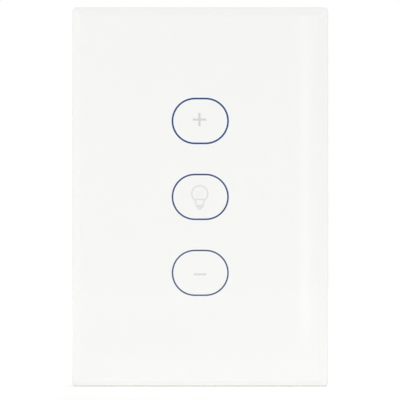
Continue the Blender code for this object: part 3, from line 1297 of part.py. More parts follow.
def add_power_parts(materials):
    centres, z = row_centres("input")
    spots = add_fuse(centres[0], z, materials)
    spots += add_varistor(centres[1], z, materials)
    spots += add_choke(centres[2], z, materials)
    centres, z = row_centres("supply")
    spots += add_transformer(centres[0], z, materials)
    spots += add_rectifier(centres[1], z, materials)
    spots += add_film_capacitor(centres[2], z, materials)
    centres, z = row_centres("store")
    spots += add_bulk_capacitor("bulk_capacitor_left", centres[0], z, materials)
    spots += add_bulk_capacitor("bulk_capacitor_right", centres[1], z, materials)
    spots += add_wireless_module(centres[2], z, materials)
    centres, z = row_centres("switch")
    spots += add_switch_row(centres[0], z, materials)
    return spots


def clear_scene():
    for thing in list(bpy.data.objects):
        bpy.data.objects.remove(thing, do_unlink=True)


def build_front_panel(materials):
    holder = bpy.data.objects.new("front_panel", None)
    bpy.context.scene.collection.objects.link(holder)
    frame = add_panel_frame(materials)
    add_snap_ridges(frame)
    pieces = [add_glass_panel(materials), add_glass_tape(materials), frame]
    for word, key in KEYS:
        z = key * KEY_SPACING
        pieces.append(add_light_guide(f"light_guide_{word}", z, materials))
        pieces.append(add_key_outline(f"key_outline_{word}", z, materials[f"outline_{word}"]))
    for piece in pieces:
        piece.parent = holder


def build_touch_side(materials):
    add_mounting_frame(materials)
    add_touch_board(materials)
    for word, key in KEYS:
        z = key * KEY_SPACING
        add_touch_spring(f"touch_spring_{word}", z, materials)
        add_led(f"led_{word}_left", -LED_OFFSET, z, materials)
        add_led(f"led_{word}_right", LED_OFFSET, z, materials)
    add_touch_controller(materials)
    add_board_screws(materials)


def build_power_side(materials):
    add_rear_housing(materials)
    add_housing_screws(materials)
    add_terminal_block(materials)
    for index, word in enumerate(TERMINALS):
        x = terminal_x(index)
        add_contact_bar(f"{word}_contact", x, materials)
        add_wire_clamp(f"{word}_clamp", x, materials)
        add_terminal_screw(f"{word}_screw", x, materials)
    add_power_board(materials, add_power_parts(materials))
    add_header(materials)


def shade_pieces():
    for piece in bpy.data.objects:
        if piece.type == "MESH":
            piece.data.shade_smooth()
            piece.data.set_sharp_from_angle(angle=SHARP_ANGLE)


def main():
    clear_scene()
    materials = make_materials()
    build_front_panel(materials)
    build_touch_side(materials)
    build_power_side(materials)
    shade_pieces()


main()
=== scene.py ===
import math
import random

import bmesh
import bpy
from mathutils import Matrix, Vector


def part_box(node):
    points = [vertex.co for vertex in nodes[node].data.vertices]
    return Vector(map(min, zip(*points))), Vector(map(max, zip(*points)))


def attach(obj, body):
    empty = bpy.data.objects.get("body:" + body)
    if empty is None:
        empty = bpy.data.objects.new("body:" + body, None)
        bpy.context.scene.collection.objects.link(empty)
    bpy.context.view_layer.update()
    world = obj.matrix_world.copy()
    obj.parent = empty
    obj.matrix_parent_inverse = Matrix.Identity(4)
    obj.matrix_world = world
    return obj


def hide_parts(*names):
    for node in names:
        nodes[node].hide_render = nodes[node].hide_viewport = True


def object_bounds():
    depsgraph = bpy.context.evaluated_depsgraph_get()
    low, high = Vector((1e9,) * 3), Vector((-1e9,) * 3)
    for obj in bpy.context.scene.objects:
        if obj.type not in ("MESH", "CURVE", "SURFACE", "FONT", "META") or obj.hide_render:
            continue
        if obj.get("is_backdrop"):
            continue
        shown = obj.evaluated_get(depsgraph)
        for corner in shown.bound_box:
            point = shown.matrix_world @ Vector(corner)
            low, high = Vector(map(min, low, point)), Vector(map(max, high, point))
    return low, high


# A touch dimmer: a white glass panel that pulls off its works in the wall.
# Metres, X right, Z up, the glass towards -Y, the back of the dimmer towards +Y.

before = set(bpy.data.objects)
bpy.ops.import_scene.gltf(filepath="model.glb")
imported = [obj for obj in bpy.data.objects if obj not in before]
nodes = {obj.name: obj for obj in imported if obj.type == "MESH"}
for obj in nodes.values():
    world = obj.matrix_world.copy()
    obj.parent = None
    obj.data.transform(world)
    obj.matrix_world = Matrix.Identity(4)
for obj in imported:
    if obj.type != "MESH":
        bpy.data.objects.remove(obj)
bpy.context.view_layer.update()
scene = bpy.context.scene
keyWords = ("top", "middle", "bottom")
terminalWords = ("line", "neutral", "lamp")
print("frame loaded:", len(nodes), "parts")


cameraLook = {
    "framePixels": 400,
    "plateCentre": (200.25, 196.9),      # where the middle of the plate stands in the picture
    "pixel": 0.081 / 256.3,              # one pixel, in metres on the glass
    "lens": 200.0,
    "sensor": 36.0,
    "nearest": 0.01,                     # what stands closer than this isn't drawn
}


def setCamera(look):
    width = look["framePixels"] * look["pixel"]
    middle = look["framePixels"] / 2
    camera = bpy.data.cameras.new("camera")
    camera.lens = look["lens"]
    camera.sensor_width = look["sensor"]
    camera.clip_start = look["nearest"]
    holder = bpy.data.objects.new("camera", camera)
    scene.collection.objects.link(holder)
    distance = width * look["lens"] / look["sensor"]
    x = (middle - look["plateCentre"][0]) * look["pixel"]
    z = (look["plateCentre"][1] - middle) * look["pixel"]
    holder.location = (x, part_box("glass_panel")[0].y - distance, z)
    holder.rotation_euler = (math.pi / 2, 0.0, 0.0)
    scene.camera = holder


setCamera(cameraLook)
print("camera set")


class Flow:
    # A value on its way through a node tree, so that sums in the script read as sums
    def __init__(self, work, socket):
        self.work = work
        self.socket = socket

    def calc(self, operation, *values):
        return self.work.add("ShaderNodeMath", {"operation": operation}, dict(enumerate(values)))

    def __add__(self, other):
        return self.calc("ADD", self, other)

    def __radd__(self, other):
        return self.calc("ADD", other, self)

    def __sub__(self, other):
        return self.calc("SUBTRACT", self, other)

    def __rsub__(self, other):
        return self.calc("SUBTRACT", other, self)

    def __mul__(self, other):
        return self.calc("MULTIPLY", self, other)

    def __rmul__(self, other):
        return self.calc("MULTIPLY", other, self)

    def __truediv__(self, other):
        return self.calc("DIVIDE", self, other)

    def __rtruediv__(self, other):
        return self.calc("DIVIDE", other, self)

    def __abs__(self):
        return self.calc("ABSOLUTE", self)

    def larger(self, other):
        return self.calc("MAXIMUM", self, other)

    def length(self, other):                             # of the slope over two steps at right angles
        square = self * self + other * other
        return square.calc("SQRT", square)

    def swing(self, amount):                             # a noise as a change of this much round zero
        return (self - 0.5) * amount

    def ramp(self, low, high, start=0.0, end=1.0):
        # Runs from start to end while this runs from low to high
        inputs = {0: self, 1: low, 2: high, 3: start, 4: end}
        return self.work.add("ShaderNodeMapRange", {"clamp": True}, inputs)

    def past(self, place, soft):                         # 0 before a place and 1 past it
        return self.ramp(place - soft, place + soft)


class NodeWork:
    # Adds and joins the nodes of one tree
    def __init__(self, tree):
        self.tree = tree
        tree.nodes.clear()

    def add(self, kind, settings=None, inputs=None, out=0):
        node = self.tree.nodes.new(kind)
        for name, value in (settings or {}).items():
            setattr(node, name, value)
        for name, value in (inputs or {}).items():
            self.feed(node.inputs[name], value)
        return Flow(self, node.outputs[out]) if len(node.outputs) else None

    def feed(self, socket, value):
        if isinstance(value, Flow):
            self.tree.links.new(value.socket, socket)
        else:
            socket.default_value = value

    def others(self, flow, *names):                      # more outputs of the node behind a value
        return [Flow(self, flow.socket.node.outputs[name]) for name in names]

    def split(self, vector, *names):                     # the X, Y or Z of a place or a colour
        return self.others(self.add("ShaderNodeSeparateXYZ", inputs={0: vector}), *names)


class Shader(NodeWork):
    # The nodes of a material or of the sky
    def __init__(self, owner):
        owner.use_nodes = True
        self.owner = owner
        super().__init__(owner.node_tree)

    def place(self):
        return self.add("ShaderNodeTexCoord", out="Object")

    def mix(self, factor, first, second):                # two colours
        return self.add("ShaderNodeMix", {"data_type": "RGBA"}, {0: factor, 6: first, 7: second}, out=2)

    def shades(self, factor, colour, darker, paler):     # one colour in two shades
        return self.mix(factor, tinted(colour, darker), tinted(colour, paler))

    def noise(self, size, detail=2.0, stretch=(1.0, 1.0, 1.0)):
        place = self.add("ShaderNodeMapping", inputs={"Vector": self.place(), "Scale": stretch})
        inputs = {"Vector": place, "Scale": 1.0 / size, "Detail": detail, "Roughness": 0.55}
        return self.add("ShaderNodeTexNoise", {"normalize": True}, inputs)

    def bump(self, height, depth, edge=0.0):
        inputs = {"Height": height, "Distance": depth}
        if edge:                                         # softens the part's edges over this radius
            inputs["Normal"] = self.add("ShaderNodeBevel", {"samples": 4}, {"Radius": edge})
        return self.add("ShaderNodeBump", inputs=inputs)

    def finish(self, **inputs):
        named = {name.replace("_", " "): value for name, value in inputs.items()}
        surface = self.add("ShaderNodeBsdfPrincipled", inputs=named)
        self.add("ShaderNodeOutputMaterial", inputs={"Surface": surface})
        return self.owner


def newShader(name):
    return Shader(bpy.data.materials.new(name))


class Growth(NodeWork):
    # A geometry tree with named inputs: it grows a mesh from the points that it is given
    def __init__(self, name, sizes, counts=()):
        group = bpy.data.node_groups.new(name, "GeometryNodeTree")
        super().__init__(group)
        kinds = dict.fromkeys(sizes, "NodeSocketFloat")
        kinds.update(dict.fromkeys(counts, "NodeSocketInt"))
        kinds["Material"] = "NodeSocketMaterial"
        board = group.interface
        board.new_socket("Geometry", in_out="OUTPUT", socket_type="NodeSocketGeometry")
        board.new_socket("Points", in_out="INPUT", socket_type="NodeSocketGeometry")
        self.sockets = {}
        for title, kind in kinds.items():
            self.sockets[title] = board.new_socket(title, in_out="INPUT", socket_type=kind).identifier
        self.points = self.add("NodeGroupInput")
        self.given = dict(zip(kinds, self.others(self.points, *kinds)))

    def joined(self, *parts):                            # one socket takes all the parts
        node = self.tree.nodes.new("GeometryNodeJoinGeometry")
        for part in parts:
            self.tree.links.new(part.socket, node.inputs[0])
        return Flow(self, node.outputs[0])

    def vector(self, x, y, z):
        return self.add("ShaderNodeCombineXYZ", inputs={0: x, 1: y, 2: z})

    def corners(self, *names):                           # where a mesh's corners are
        return self.split(self.add("GeometryNodeInputPosition"), *names)

    def wire(self, curve, radius, sides):
        inputs = {"Resolution": sides, "Radius": radius}
        profile = self.add("GeometryNodeCurvePrimitiveCircle", inputs=inputs)
        inputs = {"Curve": curve, "Profile Curve": profile, "Fill Caps": True}
        return self.add("GeometryNodeCurveToMesh", inputs=inputs)

    def coil(self):                                      # a round wire wound evenly round the Z axis
        given = self.given
        inputs = {"Resolution": given["Steps"], "Rotations": given["Turns"], "Height": given["Length"],
                  "Start Radius": given["Radius"], "End Radius": given["Radius"], "Reverse": True}
        spiral = self.add("GeometryNodeCurveSpiral", inputs=inputs)
        return self.wire(spiral, given["Wire"], given["Sides"])

    def planted(self, part, turn):
        # Sets a part on every point and ends the tree
        inputs = {"Points": self.points, "Instance": part, "Rotation": turn}
        spread = self.add("GeometryNodeInstanceOnPoints", inputs=inputs)
        real = self.add("GeometryNodeRealizeInstances", inputs={0: spread})
        inputs = {"Geometry": real, "Material": self.given["Material"]}
        self.add("NodeGroupOutput", inputs={0: self.add("GeometryNodeSetMaterial", inputs=inputs)})

    def grow(self, name, points, body, slot, values):
        # Runs the tree on a list of points and keeps the plain mesh
        mesh = bpy.data.meshes.new(name)
        mesh.from_pydata([tuple(point) for point in points], [], [])
        piece = bpy.data.objects.new(name, mesh)
        scene.collection.objects.link(piece)
        modifier = piece.modifiers.new("growth", "NODES")
        modifier.node_group = self.tree
        for title, value in values.items():
            modifier[self.sockets[title]] = value
        grown = piece.evaluated_get(bpy.context.evaluated_depsgraph_get())
        plain = bpy.data.meshes.new_from_object(grown)
        piece.modifiers.remove(modifier)
        piece.data = plain
        return settle(piece, body)


coilSizes = ("Radius", "Wire", "Turns", "Length")
wireCounts = ("Steps", "Sides")                          # along a wire and round it
towardsGlass = (math.pi / 2, 0.0, 0.0)                   # turns what stands along Z so that it faces -Y
sharpAngle = 40.0                                        # edges that turn by more degrees stay sharp


def settle(piece, body):
    piece.data.shade_smooth()
    piece.data.set_sharp_from_angle(angle=math.radians(sharpAngle))
    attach(piece, body)
    return piece


def sized(look, *names):
    # Values of a look under the names that a tree's inputs have
    return {name.capitalize(): look[name] for name in names}


def middleOf(name, depth):
    # The middle of a part as the front view shows it, at this depth
    low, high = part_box(name)
    return ((low.x + high.x) / 2, depth, (low.z + high.z) / 2)


def solid(colour):
    return (*colour, 1.0)


def tinted(colour, factor):
    return (*[min(1.0, part * factor) for part in colour], 1.0)


def dress(material, *names):
    for name in names:
        for slot in nodes[name].material_slots:
            slot.material = material


def speckledFinish(name, colour, look):
    # An even coat, such as ink, enamel or glaze: fine specks in its shade, sheen and height
    shader = newShader(name)
    specks = shader.noise(look["size"], look["detail"])
    shade = shader.shades(specks, colour, *look["shade"])
    roughness = specks * look["shine"] + look["roughness"]
    normal = shader.bump(specks, look["relief"])
    return shader.finish(Base_Color=shade, Roughness=roughness, Normal=normal)


glassLook = {
    "coat": (0.895, 0.895, 0.877),       # white paint behind the glass
    "bevelCoat": (0.920, 0.922, 0.915),  # the same paint seen through the slanting edge
    "clearEdge": (0.60, 0.69, 0.65),     # the clear glass seen from its side
    "wallFrom": (0.992, 0.999),          # shares of the bevel past which the clear edge shows
    "coatEdge": 0.0003,                  # the paint's own edge, at the back of the sides
    "faceRoughness": 0.045,
    "groundRoughness": 0.16,
    "scuff": 0.0009,                     # size of the marks that grinding leaves
    "scuffShine": 0.06,
    "wave": 0.03,                        # float marks in the glass
    "waveDetail": 1.0,
    "waveRelief": 0.000003,
    "bevel": 0.0027,
    "bevelSoft": 0.00008,
    "bevelDepth": 0.0009,
    "corner": 0.0012,
    "rim": 0.0003,                       # the frosted line where the bevel ends, painted paler as a highlight
    "rimSoft": 0.00003,
    # painted highlight along the glass's outer edge
    "rimPaintedHighlight": (0.986, 0.986, 0.970),
    "paintedFootBands": [                       # painted light and shade at the foot, in order a paler lower bevel, a highlight line and a shadow line at the very bottom: colour, upper end and softness of each band
        ((0.934, 0.936, 0.929), 0.0022, 0.0005),
        ((0.995, 1.000, 0.965), 0.00090, 0.00005),
        ((0.890, 0.896, 0.865), 0.00053, 0.00005),
    ],
    "paintedFootFade": 0.004,                   # the painted bands fade over this length at the corners
}
outlineLook = {
    "top": (0.001, 0.004, 0.050),
    "middle": (0.016, 0.020, 0.055),
    "bottom": (0.045, 0.048, 0.085),
    "size": 0.0008, "detail": 2.0, "shade": (0.85, 1.15),        # of the specks
    "shine": 0.1, "roughness": 0.25, "relief": 0.00001,
}
paintedGlowLook = {                           # painted glow: the blue light from the light guides beside each outline, as colour on the glass
    "top": {"width": 0.00058, "colour": (0.130, 0.190, 0.600)},
    "middle": {"width": 0.00054, "colour": (0.210, 0.220, 0.600)},
    "bottom": {"width": 0.00050, "colour": (0.300, 0.280, 0.600)},
    "soft": 0.00005,                     # how gently the fringes end; a width takes in the outline
    "groove": 0.00036,                   # the outline's own width
    "halo": 0.0011,                      # how far the last of the blue reaches
    "haloColour": (0.865, 0.917, 0.940),
}


def keyPrint(shader, x, z, face, word, look):
    # The painted glow, fringe and halo, round one key; its outline is a long circle, flat above and
    # below
    low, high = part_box("key_outline_" + word)
    radius = (high.z - low.z) / 2
    across = (abs(x) - ((high.x - low.x) / 2 - radius)).larger(0.0)
    rise = z - (high.z + low.z) / 2
    away = abs(across.length(rise) - (radius - look["groove"] / 2))
    edge = look[word]["width"] / 2
    halo = shader.mix(away.ramp(edge, look["halo"]), solid(look["haloColour"]), face)
    return shader.mix(away.past(edge, look["soft"]), solid(look[word]["colour"]), halo)


def glassFinish(look):
    low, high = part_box("glass_panel")
    shader = newShader("backCoatedGlass")
    x, y, z = shader.split(shader.place(), "X", "Y", "Z")
    outside = (abs(x) - (high.x - look["bevel"])).larger(abs(z) - (high.z - look["bevel"]))
    ground = outside.past(0.0, look["bevelSoft"])
    side = (abs(x) - (high.x - look["corner"])).larger(0.0)
    end = (abs(z) - (high.z - look["corner"])).larger(0.0)
    rounded = side.length(end) + (look["bevel"] - look["corner"])    # as outside, with round corners
    # the frosted rim, painted paler than the bevel as a highlight along the outer edge
    rim = rounded.past(look["bevel"] - look["rim"], look["rimSoft"])
    slope = shader.mix(rim, solid(look["bevelCoat"]), solid(look["rimPaintedHighlight"]))
    # painted light and shade along the foot: a paler lower bevel, a highlight line and a shadow line at
    # the bottom, fading at the corners
    paintedFootCornerFade = abs(x).ramp(high.x - look["paintedFootFade"], high.x)
    for colour, top, soft in look["paintedFootBands"]:
        above = z.past(low.z + top, soft)
        slope = shader.mix(above.larger(paintedFootCornerFade), solid(colour), slope)
    face = shader.mix(ground, solid(look["coat"]), slope)
    # painted blue glow from the light guides round each key
    for word in keyWords:
        face = keyPrint(shader, x, z, face, word, paintedGlowLook)
    depth = y.ramp(low.y + look["bevelDepth"], high.y - look["coatEdge"])
    edge = shader.mix(depth, solid(look["clearEdge"]), solid(look["coat"]))
    wallStart, wallEnd = look["wallFrom"]
    wall = rounded.ramp(look["bevel"] * wallStart, look["bevel"] * wallEnd)
    scuffs = shader.noise(look["scuff"]) * look["scuffShine"]
    smooth, frosted = look["faceRoughness"], look["groundRoughness"]
    roughness = smooth + ground * (scuffs + (frosted - smooth))
    normal = shader.bump(shader.noise(look["wave"], look["waveDetail"]), look["waveRelief"])
    colour = shader.mix(wall, face, edge)
    return shader.finish(Base_Color=colour, Roughness=roughness, Normal=normal, IOR=1.5)


dress(glassFinish(glassLook), "glass_panel")
for word in keyWords:
    enamel = speckledFinish("outlineEnamel" + word.capitalize(), outlineLook[word], outlineLook)
    dress(enamel, "key_outline_" + word)
print("glass and outlines finished")


def strip(maker, points, stroke, closed=False):
    # A flat band of even width along a line of (x, z) points
    count = len(points)
    sides = []
    for number, point in enumerate(points):
        before = points[number - 1] if number > 0 or closed else point
        after = points[(number + 1) % count] if number < count - 1 or closed else point
        along = Vector((after[0] - before[0], after[1] - before[1])).normalized()
        out = Vector((-along.y, along.x)) * stroke / 2
        near = maker.verts.new((point[0] + out.x, 0.0, point[1] + out.y))
        far = maker.verts.new((point[0] - out.x, 0.0, point[1] - out.y))
        sides.append((near, far))
    last = count if closed else count - 1
    for number in range(last):
        near, far = sides[number], sides[(number + 1) % count]
        maker.faces.new((near[0], near[1], far[1], far[0]))


def arc(radius, start, end, steps):
    angles = [math.radians(start + (end - start) * number / steps) for number in range(steps + 1)]
    return [(radius * math.cos(angle), radius * math.sin(angle)) for angle in angles]


def layPrint(name, maker, thickness, place, body, material, flip=1.0):
    # Gives flat strips their thickness, away from the face that they lie on
    sheet = bmesh.ops.extrude_face_region(maker, geom=maker.faces[:])
    raised = [part for part in sheet["geom"] if isinstance(part, bmesh.types.BMVert)]
    bmesh.ops.translate(maker, verts=raised, vec=(0.0, -thickness, 0.0))
    for vert in maker.verts:                             # flip is -1 on a face that looks along +Y
        vert.co = Vector((vert.co.x * flip, vert.co.y * flip, vert.co.z)) + Vector(place)
    bmesh.ops.recalc_face_normals(maker, faces=maker.faces)
    mesh = bpy.data.meshes.new(name)
    maker.to_mesh(mesh)
    maker.free()
    mesh.materials.append(material)
    piece = bpy.data.objects.new(name, mesh)
    scene.collection.objects.link(piece)
    return settle(piece, body)


printLook = {
    "thickness": 0.00003,
    "lift": 0.00001,
    "size": 0.00012, "detail": 1.0, "shade": (0.97, 1.03),       # of the specks
    "shine": 0.15, "roughness": 0.3, "relief": 0.000005,
}
plusLook = {
    "offset": (-0.00025, 0.00044),       # from the middle of the key
    "length": 0.0042,
    "stroke": 0.00066,
    "colour": (0.63, 0.63, 0.62),
}
bulbLook = {
    "offset": (-0.00016, 0.00102),
    "radius": 0.00251,
    "stroke": 0.00050,
    "turn": -43.0,                       # the angle at which the round part ends
    "steps": 32,
    "chord": -0.00182,                   # height of the bar across the bulb, and half its length
    "chordHalf": 0.00170,
    "neckTop": 0.00142,
    "neckFoot": 0.00103,
    "foot": -0.00350,
    "tip": -0.00502,
    "tipHalf": 0.00045,
    "colour": (0.722, 0.722, 0.708),
}
filamentLook = {
    "stroke": 0.00022,
    "reach": 0.00125,                    # half the wave's length
    "rise": 0.00025,
    "swing": 0.00060,
    "waves": 1.5,
    "steps": 24,
    "root": 0.00045,                     # the legs start this far from the middle
    "colour": (0.800, 0.800, 0.785),
}
minusLook = {
    "offset": (-0.00006, -0.00047),
    "length": 0.0040,
    "stroke": 0.00056,
    "colour": (0.67, 0.67, 0.66),
}


def barSymbol(look, crossed=False):
    maker = bmesh.new()
    half = look["length"] / 2
    strip(maker, [(-half, 0.0), (half, 0.0)], look["stroke"])
    if crossed:
        inner = look["stroke"] / 2
        strip(maker, [(0.0, inner), (0.0, half)], look["stroke"])
        strip(maker, [(0.0, -half), (0.0, -inner)], look["stroke"])
    return maker


def bulbSymbol(look):
    maker = bmesh.new()
    stroke = look["stroke"]
    globe = arc(look["radius"], look["turn"], 180.0 - look["turn"], look["steps"])
    globe += [(-look["chordHalf"], look["chord"]), (look["chordHalf"], look["chord"])]
    strip(maker, globe, stroke, closed=True)
    for side in (-1, 1):
        top = (side * look["neckTop"], look["chord"] - stroke / 2)
        strip(maker, [top, (side * look["neckFoot"], look["foot"])], stroke)
    foot, tip = look["neckFoot"] + stroke / 2, look["tipHalf"]
    cap = [(-foot, look["foot"]), (foot, look["foot"]), (foot, look["foot"] - stroke)]
    cap += [(tip, look["tip"]), (-tip, look["tip"]), (-foot, look["foot"] - stroke)]
    maker.faces.new([maker.verts.new((x, 0.0, z)) for x, z in cap])
    return maker


def filamentSymbol(look, bulb):
    # A wave on two legs, which start from the bar across the bulb
    maker = bmesh.new()
    low = bulb["chord"] + bulb["stroke"] / 2
    wire = [(-look["root"], low)]
    for number in range(look["steps"] + 1):
        share = number / look["steps"]
        height = look["rise"] + look["swing"] * math.sin(2.0 * math.pi * look["waves"] * share)
        wire.append((look["reach"] * (2.0 * share - 1.0), height))
    wire.append((look["root"], low))
    strip(maker, wire, look["stroke"])
    return maker


def printOnGlass(name, word, maker, offset, colour):
    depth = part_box("glass_panel")[0].y + printLook["lift"]
    height = middleOf("key_outline_" + word, depth)[2] + offset[1]
    ink = speckledFinish(name + "_ink", colour, printLook)
    layPrint(name, maker, printLook["thickness"], (offset[0], depth, height), "front_panel",
             ink)


printOnGlass("symbol_plus", "top", barSymbol(plusLook, crossed=True), plusLook["offset"],
             plusLook["colour"])
printOnGlass("symbol_bulb", "middle", bulbSymbol(bulbLook), bulbLook["offset"], bulbLook["colour"])
printOnGlass("symbol_filament", "middle", filamentSymbol(filamentLook, bulbLook), bulbLook["offset"],
             filamentLook["colour"])
printOnGlass("symbol_minus", "bottom", barSymbol(minusLook), minusLook["offset"], minusLook["colour"])
print("symbols printed")


plasticLook = {                          # colour, roughness, size of the grain, and its height
    "panelPlastic": ((0.84, 0.84, 0.82), 0.38, 0.00035, 0.000012),
    "mountingPlastic": ((0.66, 0.67, 0.67), 0.46, 0.00045, 0.00002),
    "housingPlastic": ((0.80, 0.80, 0.78), 0.45, 0.0005, 0.00002),
    "terminalPlastic": ((0.06, 0.065, 0.07), 0.4, 0.0004, 0.000012),
    "headerPlastic": ((0.03, 0.03, 0.034), 0.42, 0.0003, 0.00001),
    "chipEpoxy": ((0.022, 0.022, 0.025), 0.5, 0.00025, 0.00001),
    "foamTape": ((0.70, 0.70, 0.68), 0.85, 0.0003, 0.00004),
    "ferrite": ((0.05, 0.05, 0.05), 0.6, 0.0004, 0.00002),
    "coilWrap": ((0.70, 0.52, 0.06), 0.32, 0.0012, 0.00002),
    "filmCase": ((0.50, 0.24, 0.03), 0.3, 0.0008, 0.00002),
    "canSleeve": ((0.02, 0.028, 0.06), 0.3, 0.0006, 0.00001),
    "fuseCeramic": ((0.78, 0.76, 0.70), 0.45, 0.0004, 0.00001),
    "varistorCoat": ((0.03, 0.12, 0.38), 0.35, 0.0009, 0.00003),
    "frostedGuide": ((0.78, 0.82, 0.88), 0.35, 0.0003, 0.00001),
    "lampResin": ((0.82, 0.82, 0.66), 0.25, 0.0003, 0.00001),
}
plasticParts = {
    "panelPlastic": ["panel_frame"],
    "mountingPlastic": ["mounting_frame"],
    "housingPlastic": ["rear_housing"],
    "terminalPlastic": ["terminal_block"],
    "headerPlastic": ["board_plug", "board_socket", "touch_controller"],
    "chipEpoxy": ["rectifier", "transformer_base", "power_transistor_left", "power_transistor_right"],
    "foamTape": ["glass_tape"],
    "ferrite": ["choke_core", "transformer_core"],
    "coilWrap": ["transformer_coil"],
    "filmCase": ["film_capacitor"],
    "canSleeve": ["bulk_capacitor_left", "bulk_capacitor_right"],
    "fuseCeramic": ["fuse"],
    "varistorCoat": ["varistor"],
    "frostedGuide": ["light_guide_" + word for word in keyWords],
    "lampResin": [name for name in nodes if name.startswith("led_")],
}
mouldLook = {
    "grainDetail": 3.0,
    "drift": 0.02,                       # size of the slow changes of shade
    "grainShare": 0.4,                   # what the grain and the drift do to the shade
    "driftShare": 0.6,
    "shade": (0.95, 1.05),
    "grainShine": 0.1,
    "driftShine": 0.12,
    "softEdges": {"panelPlastic": 0.00025, "mountingPlastic": 0.00025, "housingPlastic": 0.0003,
                  "terminalPlastic": 0.0002},
}
leadLook = {                             # what goes through the power board is bare wire
    "kinds": ["chipEpoxy", "ferrite", "filmCase", "canSleeve", "fuseCeramic", "varistorCoat"],
    "colour": (0.64, 0.65, 0.66),
    "soft": 0.0001,
}


def plasticFinish(name, mould):
    # Spark-eroded mould texture, a slow drift of shade, and shinier high spots
    base, dull, grainSize, depth = plasticLook[name]
    shader = newShader(name)
    grain = shader.noise(grainSize, mould["grainDetail"])
    drift = shader.noise(mould["drift"])
    shade = grain * mould["grainShare"] + drift * mould["driftShare"]
    colour = shader.shades(shade, base, *mould["shade"])
    roughness = dull + drift.swing(mould["driftShine"]) + grain.swing(mould["grainShine"])
    normal = shader.bump(grain, depth, mould["softEdges"].get(name, 0.0))
    metallic = 0.0
    if name in leadLook["kinds"]:
        y, = shader.split(shader.place(), "Y")
        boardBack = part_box("power_board")[1].y
        metallic = y.ramp(boardBack, boardBack + leadLook["soft"], 1.0, 0.0)
        colour = shader.mix(metallic, colour, solid(leadLook["colour"]))
    return shader.finish(Base_Color=colour, Roughness=roughness, Metallic=metallic, Normal=normal)


plastics = {name: plasticFinish(name, mouldLook) for name in plasticLook}
for name, parts in plasticParts.items():
    dress(plastics[name], *parts)
print("plastics finished")


metalLook = {                            # colour, roughness, size of the streaks, and how they stretch
    "zincSteel": ((0.62, 0.63, 0.65), 0.32, 0.0012, (1.0, 12.0, 1.0)),
    "tinnedSteel": ((0.64, 0.65, 0.66), 0.28, 0.002, (1.0, 1.0, 8.0)),
    "contactBrass": ((0.72, 0.50, 0.20), 0.3, 0.002, (10.0, 1.0, 1.0)),
    "sinkAluminium": ((0.70, 0.71, 0.72), 0.38, 0.002, (8.0, 0.5, 8.0)),
    "copperWire": ((0.60, 0.24, 0.09), 0.3, 0.001, (1.0, 8.0, 1.0)),
    "springSteel": ((0.66, 0.65, 0.62), 0.26, 0.0006, (1.0, 1.0, 1.0)),
    "solder": ((0.68, 0.69, 0.70), 0.25, 0.0005, (1.0, 1.0, 1.0)),
}
metalParts = {
    "zincSteel": [name for name in nodes if name.endswith(("_screw", "_clamp")) or "_screw_" in name],
    "tinnedSteel": ["wireless_shield"],
    "contactBrass": [word + "_contact" for word in terminalWords],
    "sinkAluminium": ["heat_sink"],
    "copperWire": ["choke_coil"],
    "springSteel": ["touch_spring_" + word for word in keyWords],
}
platingLook = {
    "streakDetail": 3.0,
    "patch": 0.003,                      # size of the dull patches
    "shade": (0.88, 1.08),
    "streakShine": 0.2,
    "patchShine": 0.15,
    "relief": 0.000008,
}


def metalFinish(name, plating):
    # Drawn or rolled metal: fine streaks in the sheen and the height, and dull patches in the plating
    base, dull, size, stretch = metalLook[name]
    shader = newShader(name)
    streak = shader.noise(size, plating["streakDetail"], stretch)
    patch = shader.noise(plating["patch"])
    colour = shader.shades(patch, base, *plating["shade"])
    roughness = dull + streak.swing(plating["streakShine"]) + patch.swing(plating["patchShine"])
    normal = shader.bump(streak, plating["relief"])
    return shader.finish(Base_Color=colour, Roughness=roughness, Metallic=1.0, Normal=normal)


metals = {name: metalFinish(name, platingLook) for name in metalLook}
for name, parts in metalParts.items():
    dress(metals[name], *parts)
print("metals finished")


boardLook = {
    "mask": (0.010, 0.120, 0.050),
    "track": (0.022, 0.190, 0.082),
    "trackPitch": 0.0016,
    "trackEdge": (0.13, 0.17),           # shares of the pitch between which a track ends
    "trackBend": 0.004,                  # size of the areas in which all tracks run one way
    "bendSpread": 0.9,
    "bendSoft": 0.01,
    "weave": 0.0008,
    "weaveDetail": 1.0,
    "weaveStretch": (1.0, 1.0, 3.0),
    "weaveShine": 0.15,
    "roughness": 0.34,
    "weaveRise": 0.2,                    # parts in the relief
    "gapDrop": 0.8,
    "relief": 0.00003,
}


def boardFinish(look):
    # Green mask over copper tracks, which stand a little proud and show paler
    shader = newShader("circuitBoard")
    inputs = {"Vector": shader.place(), "Scale": 1.0 / look["trackBend"],
              "Randomness": look["bendSpread"]}
    areas = shader.add("ShaderNodeTexVoronoi", {"distance": "CHEBYCHEV"}, inputs, out="Color")
    pick, = shader.split(areas, "X")
    gaps = []
    for axis in shader.split(shader.place(), "X", "Z"):
        lane = axis.calc("PINGPONG", axis, look["trackPitch"] / 2)
        gaps.append(lane.ramp(*[look["trackPitch"] * share for share in look["trackEdge"]]))
    choice = pick.past(0.5, look["bendSoft"])
    gap = gaps[0] * choice + gaps[1] * (1.0 - choice)
    weave = shader.noise(look["weave"], look["weaveDetail"], look["weaveStretch"])
    colour = shader.mix(gap, solid(look["track"]), solid(look["mask"]))
    roughness = look["roughness"] + weave.swing(look["weaveShine"])
    normal = shader.bump(weave * look["weaveRise"] - gap * look["gapDrop"], look["relief"])
    return shader.finish(Base_Color=colour, Roughness=roughness, Normal=normal)


dress(boardFinish(boardLook), "touch_board", "power_board", "wireless_module")
print("boards finished")


